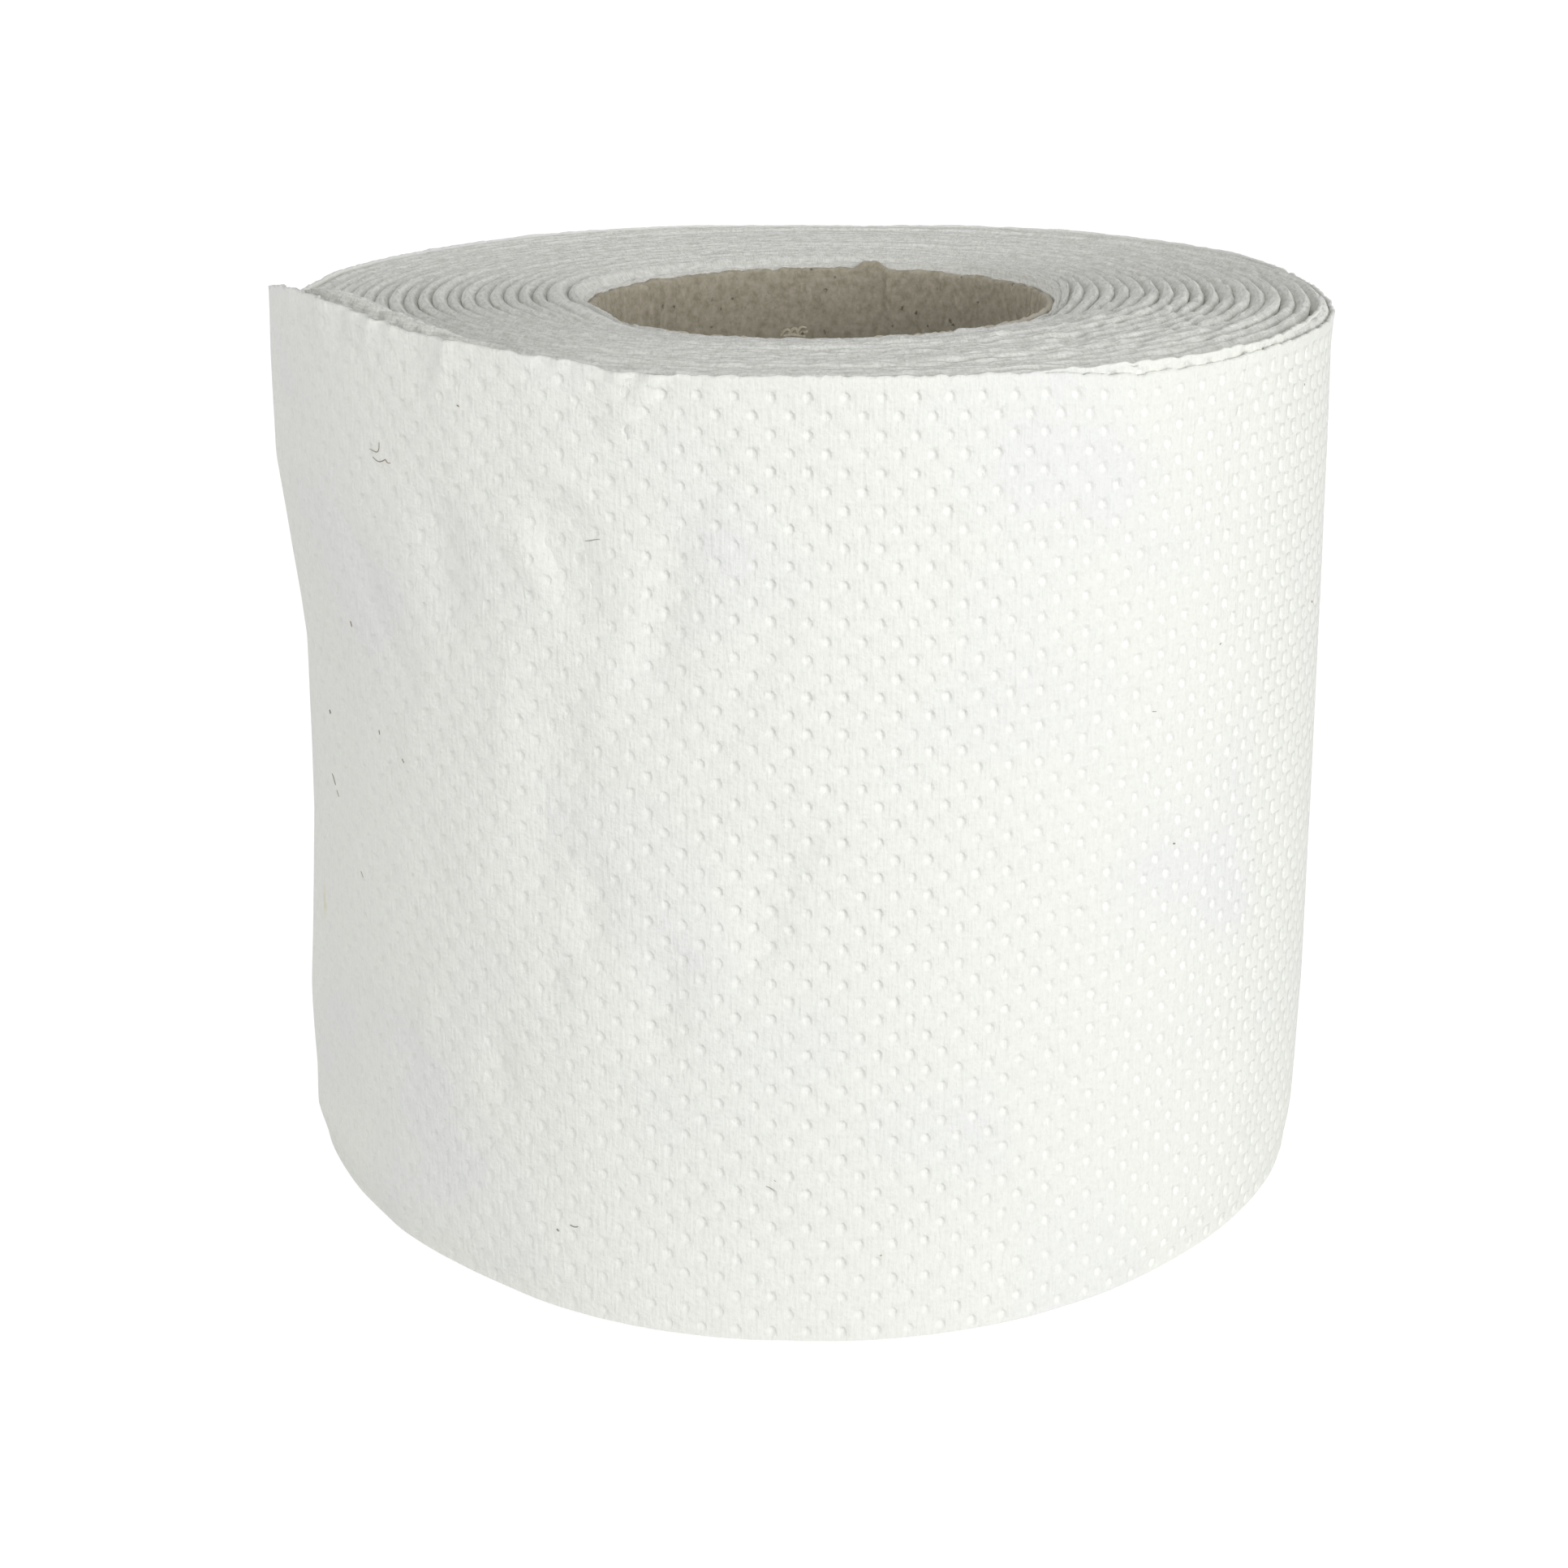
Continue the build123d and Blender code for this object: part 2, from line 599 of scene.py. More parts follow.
@dataclass(frozen=True)
class GreyBoard(Finish):
    """Recycled greyboard, wound in strips and glued, then cut across with a blade.

    It is matt and grey-brown, mottled by the waste paper's fibres, with a few dark flecks of old print and
    pale fibres, and its cut rim is paler. Sizes here are in millimetres.
    """

    name: str = "recycled_greyboard"
    roughness: float = 0.88
    specular: float = 0.25
    colour: str = "#BCB5A5"
    dark: str = "#9B9481"
    mottle_size: float = 0.90909
    fleck: str = "#3E382C"
    fleck_size: float = 1.315789
    fleck_strength: float = 0.8
    least_draw: float = 0.72
    bend: float = 0.9
    bend_size: float = 0.588235
    pale: str = "#D3CCBC"
    fibre_width: float = 0.71429
    fibre_length: float = 1.42857
    cut: str = "#D8D2C4"
    relief: float = 0.12

    def pattern(self, add: AddNode) -> dict[str, Any]:
        """Adds the mottling, the bent flecks, the pale fibres and the cut rim, in the tube's own space.

        Args:
            add: What adds a node to the material.

        Returns:
            The colour and the normal.
        """
        place = add("ShaderNodeTexCoord").outputs["Object"]
        mottle = add("ShaderNodeTexNoise", {
            "Vector": place, "Scale": 1 / (self.mottle_size * MM), "Detail": 6.0, "Roughness": 0.68})
        mottled = add("ShaderNodeMapRange", {"Value": mottle, "From Min": 0.34, "From Max": 0.64})
        swirl = add("ShaderNodeTexNoise", {
            "Vector": place, "Scale": 1 / (self.bend_size * MM), "Detail": 2.0})
        bent = add("ShaderNodeVectorMath", {0: swirl.outputs["Color"], 1: (self.bend * MM,) * 3, 2: place},
                   operation="MULTIPLY_ADD")
        cells = add("ShaderNodeTexVoronoi", {"Vector": bent, "Scale": 1 / (self.fleck_size * MM)})
        draw = add("ShaderNodeSeparateColor", {0: cells.outputs["Color"]})
        chosen = add("ShaderNodeMath", {0: draw, 1: self.least_draw}, operation="GREATER_THAN")
        near = add("ShaderNodeMapRange", {
            "Value": cells.outputs["Distance"], "From Min": 0.06, "From Max": 0.22,
            "To Min": self.fleck_strength, "To Max": 0.0})
        flecked = add("ShaderNodeMath", {0: near, 1: chosen}, operation="MULTIPLY")
        across, up = 1 / (self.fibre_width * MM), 1 / (self.fibre_length * MM)
        along = add("ShaderNodeMapping", {"Vector": place, "Scale": (across, across, up)})
        fibre = add("ShaderNodeTexNoise", {"Vector": along, "Scale": 1.0, "Detail": 4.0})
        paled = add("ShaderNodeMapRange", {
            "Value": fibre, "From Min": 0.6, "From Max": 0.76, "To Max": 0.5})
        rim = add("ShaderNodeAttribute", attribute_name="paleness").outputs["Fac"]
        colour = linear(self.dark)
        for share, tone in (
                (mottled, self.colour), (flecked, self.fleck), (paled, self.pale), (rim, self.cut)):
            mixed = add("ShaderNodeMix", {"Factor": share, 6: colour, 7: linear(tone)}, data_type="RGBA")
            colour = mixed.outputs[2]
        bump = add("ShaderNodeBump", {"Strength": 0.5, "Distance": self.relief * MM, "Height": mottle})
        return {"Base Color": colour, "Normal": bump}


@dataclass(frozen=True)
class StrayFibre(Finish):
    """Grey and brown fibres of unbleached pulp, caught in the sheet: dull, thin, the same all through."""

    name: str = "unbleached_pulp_fibre"
    roughness: float = 0.8
    colour: str = "#96928A"
    rust: str = "#A18D73"
    drift_size: float = 16.667

    def pattern(self, add: AddNode) -> dict[str, Any]:
        """Adds a drift from grey to brown over a few millimetres.

        Args:
            add: What adds a node to the material.

        Returns:
            The colour.
        """
        place = add("ShaderNodeTexCoord").outputs["Object"]
        drift = add("ShaderNodeTexNoise", {
            "Vector": place, "Scale": 1 / (self.drift_size * MM), "Detail": 1.0})
        rusted = add("ShaderNodeMapRange", {"Value": drift, "From Min": 0.45, "From Max": 0.6})
        colour = add("ShaderNodeMix", {"Factor": rusted, 6: linear(self.colour), 7: linear(self.rust)},
                     data_type="RGBA")
        return {"Base Color": colour.outputs[2]}


@dataclass(frozen=True)
class Dent:
    """A soft dent or ridge pressed into the wall.

    The ridge runs length mm at lean degrees from the vertical, width mm wide, and stands height mm out, or
    in where height is negative.
    """

    azimuth: float
    z: float
    lean: float
    length: float
    width: float
    height: float

    def at(self, azimuth: Array, z: Array, radius: float) -> Array:
        """How far it moves the wall out.

        Args:
            azimuth: Place round the roll, in degrees.
            z: Height.
            radius: The wall's radius.

        Returns:
            Millimetres outwards.
        """
        along, up = np.radians(azimuth - self.azimuth) * radius, z - self.z
        lean = math.radians(self.lean)
        run = up * math.cos(lean) + along * math.sin(lean)
        side = along * math.cos(lean) - up * math.sin(lean)
        return self.height * np.exp(-(2 * run / self.length) ** 4 - (2 * side / self.width) ** 2)


@dataclass
class WallShape:
    """The form that the sheet takes as the outermost turn and the loose tail.

    A place on the sheet is a, the mm along it from the tail's root, counted to the right, and v, the mm up
    it.
    """

    root: float = -109.0
    radius: float = 55.4
    step: float = 0.55
    thickness: float = 0.35
    tail_length: float = 57.06
    edge_azimuths: tuple = (
        -166, -164, -158, -147, -140, -131, -121, -112.5, -110, -109, -108, -105, -85, -75, -67, -64, -58,
        -50, -44, -38, -25, -18, -13, -7, 6, 12, 25, 56, 70, 83, 96, 107, 128, 150, 165, 173, 200, 245)
    edge_heights: tuple = (
        97.05, 97.6, 98.5, 98.8, 98.2, 97.1, 96.6, 96.1, 95.7, 95.35, 95.35, 95.35, 95.2, 95.0, 94.75, 94.3,
        93.75, 93.65, 93.8, 93.95, 93.9, 93.6, 93.5, 93.5, 93.8, 94.2, 94.75, 95.0, 94.8, 94.5, 94.65,
        94.95, 95.15, 95.0, 95.0, 94.7, 94.8, 95.0)
    edge_power: int = 7
    slant_azimuths: tuple = (-166, -147, -120, -95, -80, -65, -50, -30, 0, 20, 70, 251)
    slants: tuple = (3.2, 2.8, 1.9, 0.6, -0.2, -0.9, -1.3, -1.5, -1.5, -1.2, -0.2, 0)
    gap_heights: tuple = (0, 5, 10, 20, 30, 40, 50, 60, 64, 70, 80, 90, 95, 99)
    gaps: tuple = (2.3, 2.8, 2.4, 2.2, 1.5, 0.7, 0.3, 0.0, 0.3, 0.9, 1.8, 1.4, 1.1, 1.0)
    gap_waves: tuple = (Ripple(0.12, 14, 16),)
    gap_power: float = 2.4
    first_gap: float = 0.12
    first_gap_length: float = 4.755
    lift_share: float = 0.45
    side_heights: tuple = (0, 20, 40, 60, 80, 90, 95)
    side_bulges: tuple = (0.5, 0.7, 0.5, 0.1, -0.25, -0.5, -0.35)
    side_range: tuple = (-12, 60, 32)
    tuck: float = 0.5
    tuck_height: float = 3.0
    tuck_sides: tuple = (0.3, 0.4)
    softness: float = 0.1
    tail_softness: float = 0.12
    tail_range: tuple = (-150, -95, 20)
    waves: tuple = (Ripple(1, 17, 21, 31), Ripple(0.4, 5.5, 9, 0, 90))
    flat_crinkles: tuple = (Ripple(1, 2.3, 5.2, 7),)
    flat_grain: tuple = (0.9, 0.44)
    steep_crinkles: tuple = (Ripple(0.5, 2.9, 2.4, 60, 33),)
    steep_grain: float = 0.7
    crinkling: float = 0.2
    crinkle_start: float = 0.05
    dents: tuple = (
        Dent(-113.6, 77.6, -8, 11, 5.4, -0.75), Dent(-117.2, 77.3, -34, 8, 3.4, 0.5),
        Dent(-103.8, 74.0, 12, 15, 4.6, -0.7), Dent(-128.0, 75.5, -8, 13, 6.0, -0.6),
        Dent(-113.4, 85.0, -62, 9, 2.4, 0.2), Dent(-105.9, 92.9, 42, 7.5, 2.2, 0.6),
        Dent(-104.2, 92.2, 42, 7, 2.4, -0.45),
        Dent(-43.9, 93.0, 4, 3.4, 1.2, 0.3), Dent(-42.8, 93.2, 4, 3.6, 0.9, -0.35),
        Dent(-116.0, 53.5, 12, 22, 7.0, -0.7), Dent(-112.4, 44.5, 6, 10, 4.0, -0.6),
        Dent(-94.2, 47.2, 14, 13, 5.6, -0.65), Dent(-105.0, 35.2, 10, 12, 5.2, -0.6),
        Dent(-116.8, 36.6, 8, 7, 3.4, -0.4), Dent(-124.2, 25.8, 0, 8, 4.0, -0.4),
        Dent(-91.0, 51.0, 30, 8, 1.7, -0.3), Dent(-79.0, 79.0, 8, 10, 4.8, -0.28),
        Dent(-96.5, 66.0, 24, 18, 3.2, -0.26), Dent(-121.0, 64.0, 10, 13, 4.2, 0.35),
        Dent(-135.0, 27.5, 20, 8, 3.5, 0.3), Dent(-43.0, 84.0, 0, 10, 6.0, -0.2),
        Dent(-36.0, 15.0, 0, 12, 9.0, 0.25), Dent(-95.5, 40.0, 32, 7, 1.8, -0.3),
        Dent(-109.5, 67.0, 20, 16, 3.0, 0.25), Dent(-100.0, 84.0, 16, 12, 3.6, -0.22),
        Dent(-139.0, 70.0, -30, 18, 4.2, -0.3), Dent(-133.0, 60.0, 24, 14, 3.6, 0.25),
        Dent(-88.0, 0.0, 0, 18, 70, 0.45))
    noise: SmoothNoise = field(default_factory=lambda: SmoothNoise(41))

    @property
    def turn_length(self) -> float:
        """The length of one turn of the sheet."""
        return 2 * math.pi * self.radius

    def wall_radius(self, a: Array) -> Array:
        """The radius of the outermost turn's outer face at a."""
        return self.radius - self.step * np.maximum(a, 0) / self.turn_length

    def azimuth(self, a: Array) -> Array:
        """The azimuth at a, in degrees, without a jump anywhere along the sheet."""
        return self.root + np.degrees(a / self.radius)

    def place_along(self, azimuth: Array) -> Array:
        """The place a along the sheet at an azimuth that counts on from the root."""
        return np.radians(azimuth - self.root) * self.radius

    def edge(self, azimuth: Array) -> Array:
        """The height of the sheet's top edge at an azimuth."""
        return np.interp(azimuth, self.edge_azimuths, self.edge_heights)

    def height(self, azimuth: Array, v: Array) -> Array:
        """The height of a place on the sheet, whose rows slant down to the right and follow its top edge.

        Args:
            azimuth: Place round the roll, in degrees.
            v: Millimetres up the sheet.

        Returns:
            Heights above the floor.
        """
        slant = np.interp(azimuth, self.slant_azimuths, self.slants)
        rest = self.edge(azimuth) - ROLL_HEIGHT - slant
        return v + slant * (v / ROLL_HEIGHT) + rest * np.maximum(v / ROLL_HEIGHT, 0) ** self.edge_power

    def bulge(self, azimuth: Array, z: Array) -> Array:
        """How far the right side leans out below and in above, in millimetres outwards."""
        return np.interp(z, self.side_heights, self.side_bulges) * window(azimuth, *self.side_range)

    def tucked(self, azimuth: Array, z: Array) -> Array:
        """How far the foot of the wall is tucked in at the two sides."""
        sides = ramp(np.abs(np.cos(np.radians(azimuth))), *self.tuck_sides)
        return self.tuck * np.exp(-(z / self.tuck_height) ** 2) * sides

    def relief(self, a: Array, z: Array) -> Array:
        """How far the outermost turn stands off its smooth spiral.

        Args:
            a: Millimetres along the sheet.
            z: Height.

        Returns:
            Millimetres outwards.
        """
        azimuth = self.azimuth(a)
        dented = sum(dent.at(azimuth, z, self.radius) for dent in self.dents)
        out = self.bulge(azimuth, z) + dented - self.tucked(azimuth, z)
        soft = self.softness + self.tail_softness * window(azimuth, *self.tail_range)
        run, rise = self.flat_grain
        crinkle = (self.noise.layered(self.flat_crinkles, run * a - rise * z, rise * a + run * z)
                   + self.noise.layered(self.steep_crinkles, a + self.steep_grain * z, z))
        crinkled = self.crinkling * (soft - self.crinkle_start) * crinkle
        return out + soft * self.noise.layered(self.waves, a, z) + crinkled

    def place(self, a: Array, v: Array, out: Array, side: Side = Side.OUTER) -> Array:
        """Bends places of the flat sheet round the roll, and opens the tail off it.

        Args:
            a: Millimetres along the sheet.
            v: Millimetres up the sheet.
            out: How far each place stands out of the sheet.
            side: Which face of the sheet the places are on.

        Returns:
            Points in space, one row each.
        """
        z = self.height(self.azimuth(a), v)
        loose = np.clip(-a / self.tail_length, 0, 1)
        gap = np.interp(z, self.gap_heights, self.gaps) * (1 + self.noise.layered(self.gap_waves, a, z))
        lift = gap * loose ** self.gap_power + self.first_gap * ramp(-a, 0, self.first_gap_length)
        radius = self.wall_radius(a) + lift + self.relief(a, z)
        if side is Side.INNER:
            radius = radius - self.thickness
        azimuth = self.root + np.degrees(a / (self.radius + self.lift_share * lift))
        return polar(radius + out, azimuth, z)


@dataclass
class EmbossedSheet:
    """The flat sheet with its rows of pressed pin marks, as Geometry Nodes lay it out.

    The marks stand pitch mm apart in rows that are row_pitch mm apart, each row shifted by half a pitch.
    """

    pitch: float = 3.24
    row_pitch: float = 1.84
    mark_width: float = 1.24
    mark_height: float = 1.36
    mark_depth: float = 0.31
    mark_shift: tuple = (0.12, 0.08)
    mark_rings: tuple = ((1.0, 0.0, 0.0), (0.6, 0.85, 0.9))
    mark_sides: int = 8
    least_depth: float = 0.8
    most_depth: float = 1.2
    start: float = -57.06
    tail_columns: int = 18
    wall_columns: int = 107
    rows: int = 53
    top_heights: tuple = (97.86, 98.25, 98.66)
    joining: float = 0.02
    still_border: float = 0.12
    seed: int = 7

    @property
    def root(self) -> float:
        """The place of the border of cells where the tail's piece ends, beside the tail's root."""
        return self.start + self.tail_columns * self.pitch

    def border(self, width: float, segments: int) -> list[tuple[float, float, float]]:
        """The corners round one cell, which its neighbours share.

        Args:
            width: How wide the cell is.
            segments: How many stretches its long sides have.

        Returns:
            Flat points, counterclockwise from the lower left.
        """
        half, rise = width / 2, self.row_pitch / 2
        across = [-half + width * i / segments for i in range(segments)]
        return ([(x, -rise, 0.0) for x in across] + [(half, -rise, 0.0), (half, 0.0, 0.0)]
                + [(-x, rise, 0.0) for x in across] + [(-half, rise, 0.0), (-half, 0.0, 0.0)])

    def marked_cell(self) -> bpy.types.Mesh:
        """Makes the cell with one pressed mark: a rim, a floor ring and a middle point.

        Returns:
            The cell's mesh.
        """
        points = self.border(self.pitch, 4)
        corners, sides = len(points), self.mark_sides
        shift_x, shift_y = self.mark_shift
        for size, depth, moved in self.mark_rings:
            for i in range(sides):
                angle = math.tau * (i + 0.5) / sides - math.pi
                points.append((math.cos(angle) * size * self.mark_width / 2 + moved * shift_x,
                               math.sin(angle) * size * self.mark_height / 2 + moved * shift_y,
                               -depth * self.mark_depth))
        points.append((shift_x, shift_y, -self.mark_depth))
        angles = [math.atan2(y / self.row_pitch, x / self.pitch) for x, y, _ in points[:corners + sides]]
        outer = sorted(range(corners), key=angles.__getitem__)
        rim = list(range(corners, corners + sides))
        outer_angles, rim_angles = ([angles[i] for i in loop] + [angles[loop[0]] + math.tau]
                                    for loop in (outer, rim))
        outer, rim = outer + outer[:1], rim + rim[:1]
        faces = []
        i = j = 0
        while i < corners or j < sides:
            if j == sides or (i < corners and outer_angles[i + 1] <= rim_angles[j + 1]):
                faces.append((outer[i], outer[i + 1], rim[j]))
                i += 1
            else:
                faces.append((outer[i], rim[j + 1], rim[j]))
                j += 1
        for a, b in zip(rim, rim[1:]):
            faces += [(a, b, b + sides), (a, b + sides, a + sides), (a + sides, b + sides, len(points) - 1)]
        mesh = bpy.data.meshes.new("marked_cell")
        mesh.from_pydata(points, [], faces)
        return mesh

    def plain_cell(self, width: float, segments: int) -> bpy.types.Mesh:
        """Makes a flat cell with the same border points.

        Args:
            width: How wide it is.
            segments: How many stretches its long sides have.

        Returns:
            A fan of triangles round a middle point.
        """
        border = self.border(width, segments)
        count = len(border)
        mesh = bpy.data.meshes.new("plain_cell")
        mesh.from_pydata(border + [(0, 0, 0)], [], [(i, (i + 1) % count, count) for i in range(count)])
        return mesh

    def cell_place(self, corners: Array) -> Array:
        """Gives triangles' places along the sheet with the shifted rows moved back.

        A split by these places runs along the borders of cells, never through a mark.

        Args:
            corners: The three flat corners of each triangle.

        Returns:
            Millimetres along the sheet.
        """
        middle = corners.mean(axis=1)
        row = np.floor(middle[:, 1] / self.row_pitch).astype(int)
        shifted = (row % 2 == 1) & (row < self.rows)
        return middle[:, 0] - shifted * self.pitch / 2

    def grown(self, flat: Array, share: Array, growth: tuple[float, float]) -> Array:
        """Makes marks wider and taller, each about the middle of its cell.

        Args:
            flat: Flat places on the sheet.
            share: How much of the growth each place gets, from 0 to 1.
            growth: What is added to a mark's width and height, as shares of them.

        Returns:
            The same places, with those of the marks moved.
        """
        a, v, out = flat.T
        row = np.floor(v / self.row_pitch)
        column = (a - self.start) / self.pitch - 0.5 * (row % 2)
        right = (column - np.floor(column) - 0.5) * self.pitch
        up = (v / self.row_pitch - row - 0.5) * self.row_pitch
        reach = self.row_pitch / 2 - self.still_border
        share = share * ((np.abs(right) < reach) & (np.abs(up) < reach) & (row < self.rows))
        return np.stack([a + growth[0] * share * right, v + growth[1] * share * up, out], axis=-1)

    def tree(self, material: bpy.types.Material) -> bpy.types.NodeTree:
        """Builds the tree that lays cells in shifted rows and joins them to one sheet.

        Every other row starts half a pitch in, and each row has a half cell at its short end.

        Args:
            material: The sheet's finish.

        Returns:
            The tree.
        """
        tree, add, given = new_geometry_tree(
            "embossed_lattice", Cell="Object", Half_Cell="Object", Columns="Int", Rows="Int", Pitch="Float",
            Row_Pitch="Float", Least_Depth="Float", Most_Depth="Float", Seed="Int")
        index = add("GeometryNodeInputIndex")
        total = add("ShaderNodeMath", {0: given["Columns"], 1: given["Rows"]}, operation="MULTIPLY")
        share = add("ShaderNodeMath", {0: index, 1: given["Columns"]}, operation="DIVIDE")
        full_row = add("ShaderNodeMath", {0: share}, operation="FLOOR")
        column = add("ShaderNodeMath", {0: index, 1: given["Columns"]}, operation="FLOORED_MODULO")
        odd = add("ShaderNodeMath", {0: full_row, 1: 2.0}, operation="FLOORED_MODULO")
        shift = add("ShaderNodeMath", {0: odd, 1: 0.5, 2: 0.5}, operation="MULTIPLY_ADD")
        full_along = add("ShaderNodeMath", {0: column, 1: shift}, operation="ADD")
        half_odd = add("ShaderNodeMath", {0: index, 1: 2.0}, operation="FLOORED_MODULO")
        even = add("ShaderNodeMath", {0: 1.0, 1: half_odd}, operation="SUBTRACT")
        half_along = add("ShaderNodeMath", {0: even, 1: given["Columns"], 2: 0.25},
                         operation="MULTIPLY_ADD")
        layers = []
        for cell, count, row, along in (("Cell", total, full_row, full_along),
                                        ("Half Cell", given["Rows"], index, half_along)):
            middle = add("ShaderNodeMath", {0: row, 1: 0.5}, operation="ADD")
            x = add("ShaderNodeMath", {0: along, 1: given["Pitch"]}, operation="MULTIPLY")
            y = add("ShaderNodeMath", {0: middle, 1: given["Row Pitch"]}, operation="MULTIPLY")
            place = add("ShaderNodeCombineXYZ", {"X": x, "Y": y})
            points = add("GeometryNodePoints", {"Count": count, "Position": place})
            depth = add("FunctionNodeRandomValue", {
                2: given["Least Depth"], 3: given["Most Depth"], "Seed": given["Seed"]}, data_type="FLOAT")
            scale = add("ShaderNodeCombineXYZ", {"X": 1.0, "Y": 1.0, "Z": depth.outputs[1]})
            shape = add("GeometryNodeObjectInfo", {"Object": given[cell]}).outputs["Geometry"]
            layers.append(add("GeometryNodeInstanceOnPoints", {
                "Points": points, "Instance": shape, "Scale": scale}))
        both = add("GeometryNodeJoinGeometry", {0: layers[0]})
        tree.links.new(layers[1].outputs[0], both.inputs[0])
        real = add("GeometryNodeRealizeInstances", {0: both})
        joined = add("GeometryNodeMergeByDistance", {"Geometry": real, "Distance": self.joining})
        end_geometry_tree(add, joined, material)
        return tree

    def lay_out(self, material: bpy.types.Material) -> dict[Side, tuple[Array, Array]]:
        """Lays out the marked face and the plain face behind it.

        Args:
            material: The sheet's finish.

        Returns:
            Flat points and triangles of each face.
        """
        tree = self.tree(material)
        meshes = {Side.OUTER: self.marked_cell(), Side.INNER: self.plain_cell(self.pitch, 4)}
        half = bpy.data.objects.new("half_cell", self.plain_cell(self.pitch / 2, 2))
        faces = {}
        for side, cell_mesh in meshes.items():
            cell = bpy.data.objects.new(cell_mesh.name, cell_mesh)
            mesh = run_tree(tree, {
                "Cell": cell, "Half Cell": half, "Columns": self.tail_columns + self.wall_columns,
                "Rows": self.rows, "Pitch": self.pitch, "Row Pitch": self.row_pitch,
                "Least Depth": self.least_depth, "Most Depth": self.most_depth, "Seed": self.seed})
            faces[side] = self.with_top(values_of(mesh.vertices, "co", 3), triangles_of(mesh))
            bpy.data.objects.remove(cell)
        bpy.data.objects.remove(half)
        return faces

    def with_top(self, points: Array, faces: Array) -> tuple[Array, Array]:
        """Adds the plain strip along the top edge, with points half as far apart.

        Args:
            points: Flat points of the marked rows.
            faces: Their triangles.

        Returns:
            Points and triangles with the strip.
        """
        top = np.flatnonzero(np.abs(points[:, 1] - self.rows * self.row_pitch) < self.joining / 2)
        top = top[np.argsort(points[top, 0])]
        fine = np.linspace(points[top[0], 0], points[top[-1], 0], 2 * len(top) - 1)
        strip = [np.stack([fine, np.full_like(fine, y), 0 * fine], axis=-1) for y in self.top_heights]
        row = len(points) + np.arange(len(fine))
        low, high = top[:-1], top[1:]
        left, middle, right = row[0:-1:2], row[1::2], row[2::2]
        joints = (low, high, middle), (low, middle, left), (high, right, middle)
        new = [np.stack(corners, axis=-1) for corners in joints]
        for i in range(len(self.top_heights) - 1):
            under, over = row + i * len(fine), row + (i + 1) * len(fine)
            new += [np.stack((under[:-1], under[1:], over[1:]), axis=-1),
                    np.stack((under[:-1], over[1:], over[:-1]), axis=-1)]
        return np.concatenate([points] + strip), np.concatenate([faces] + new)


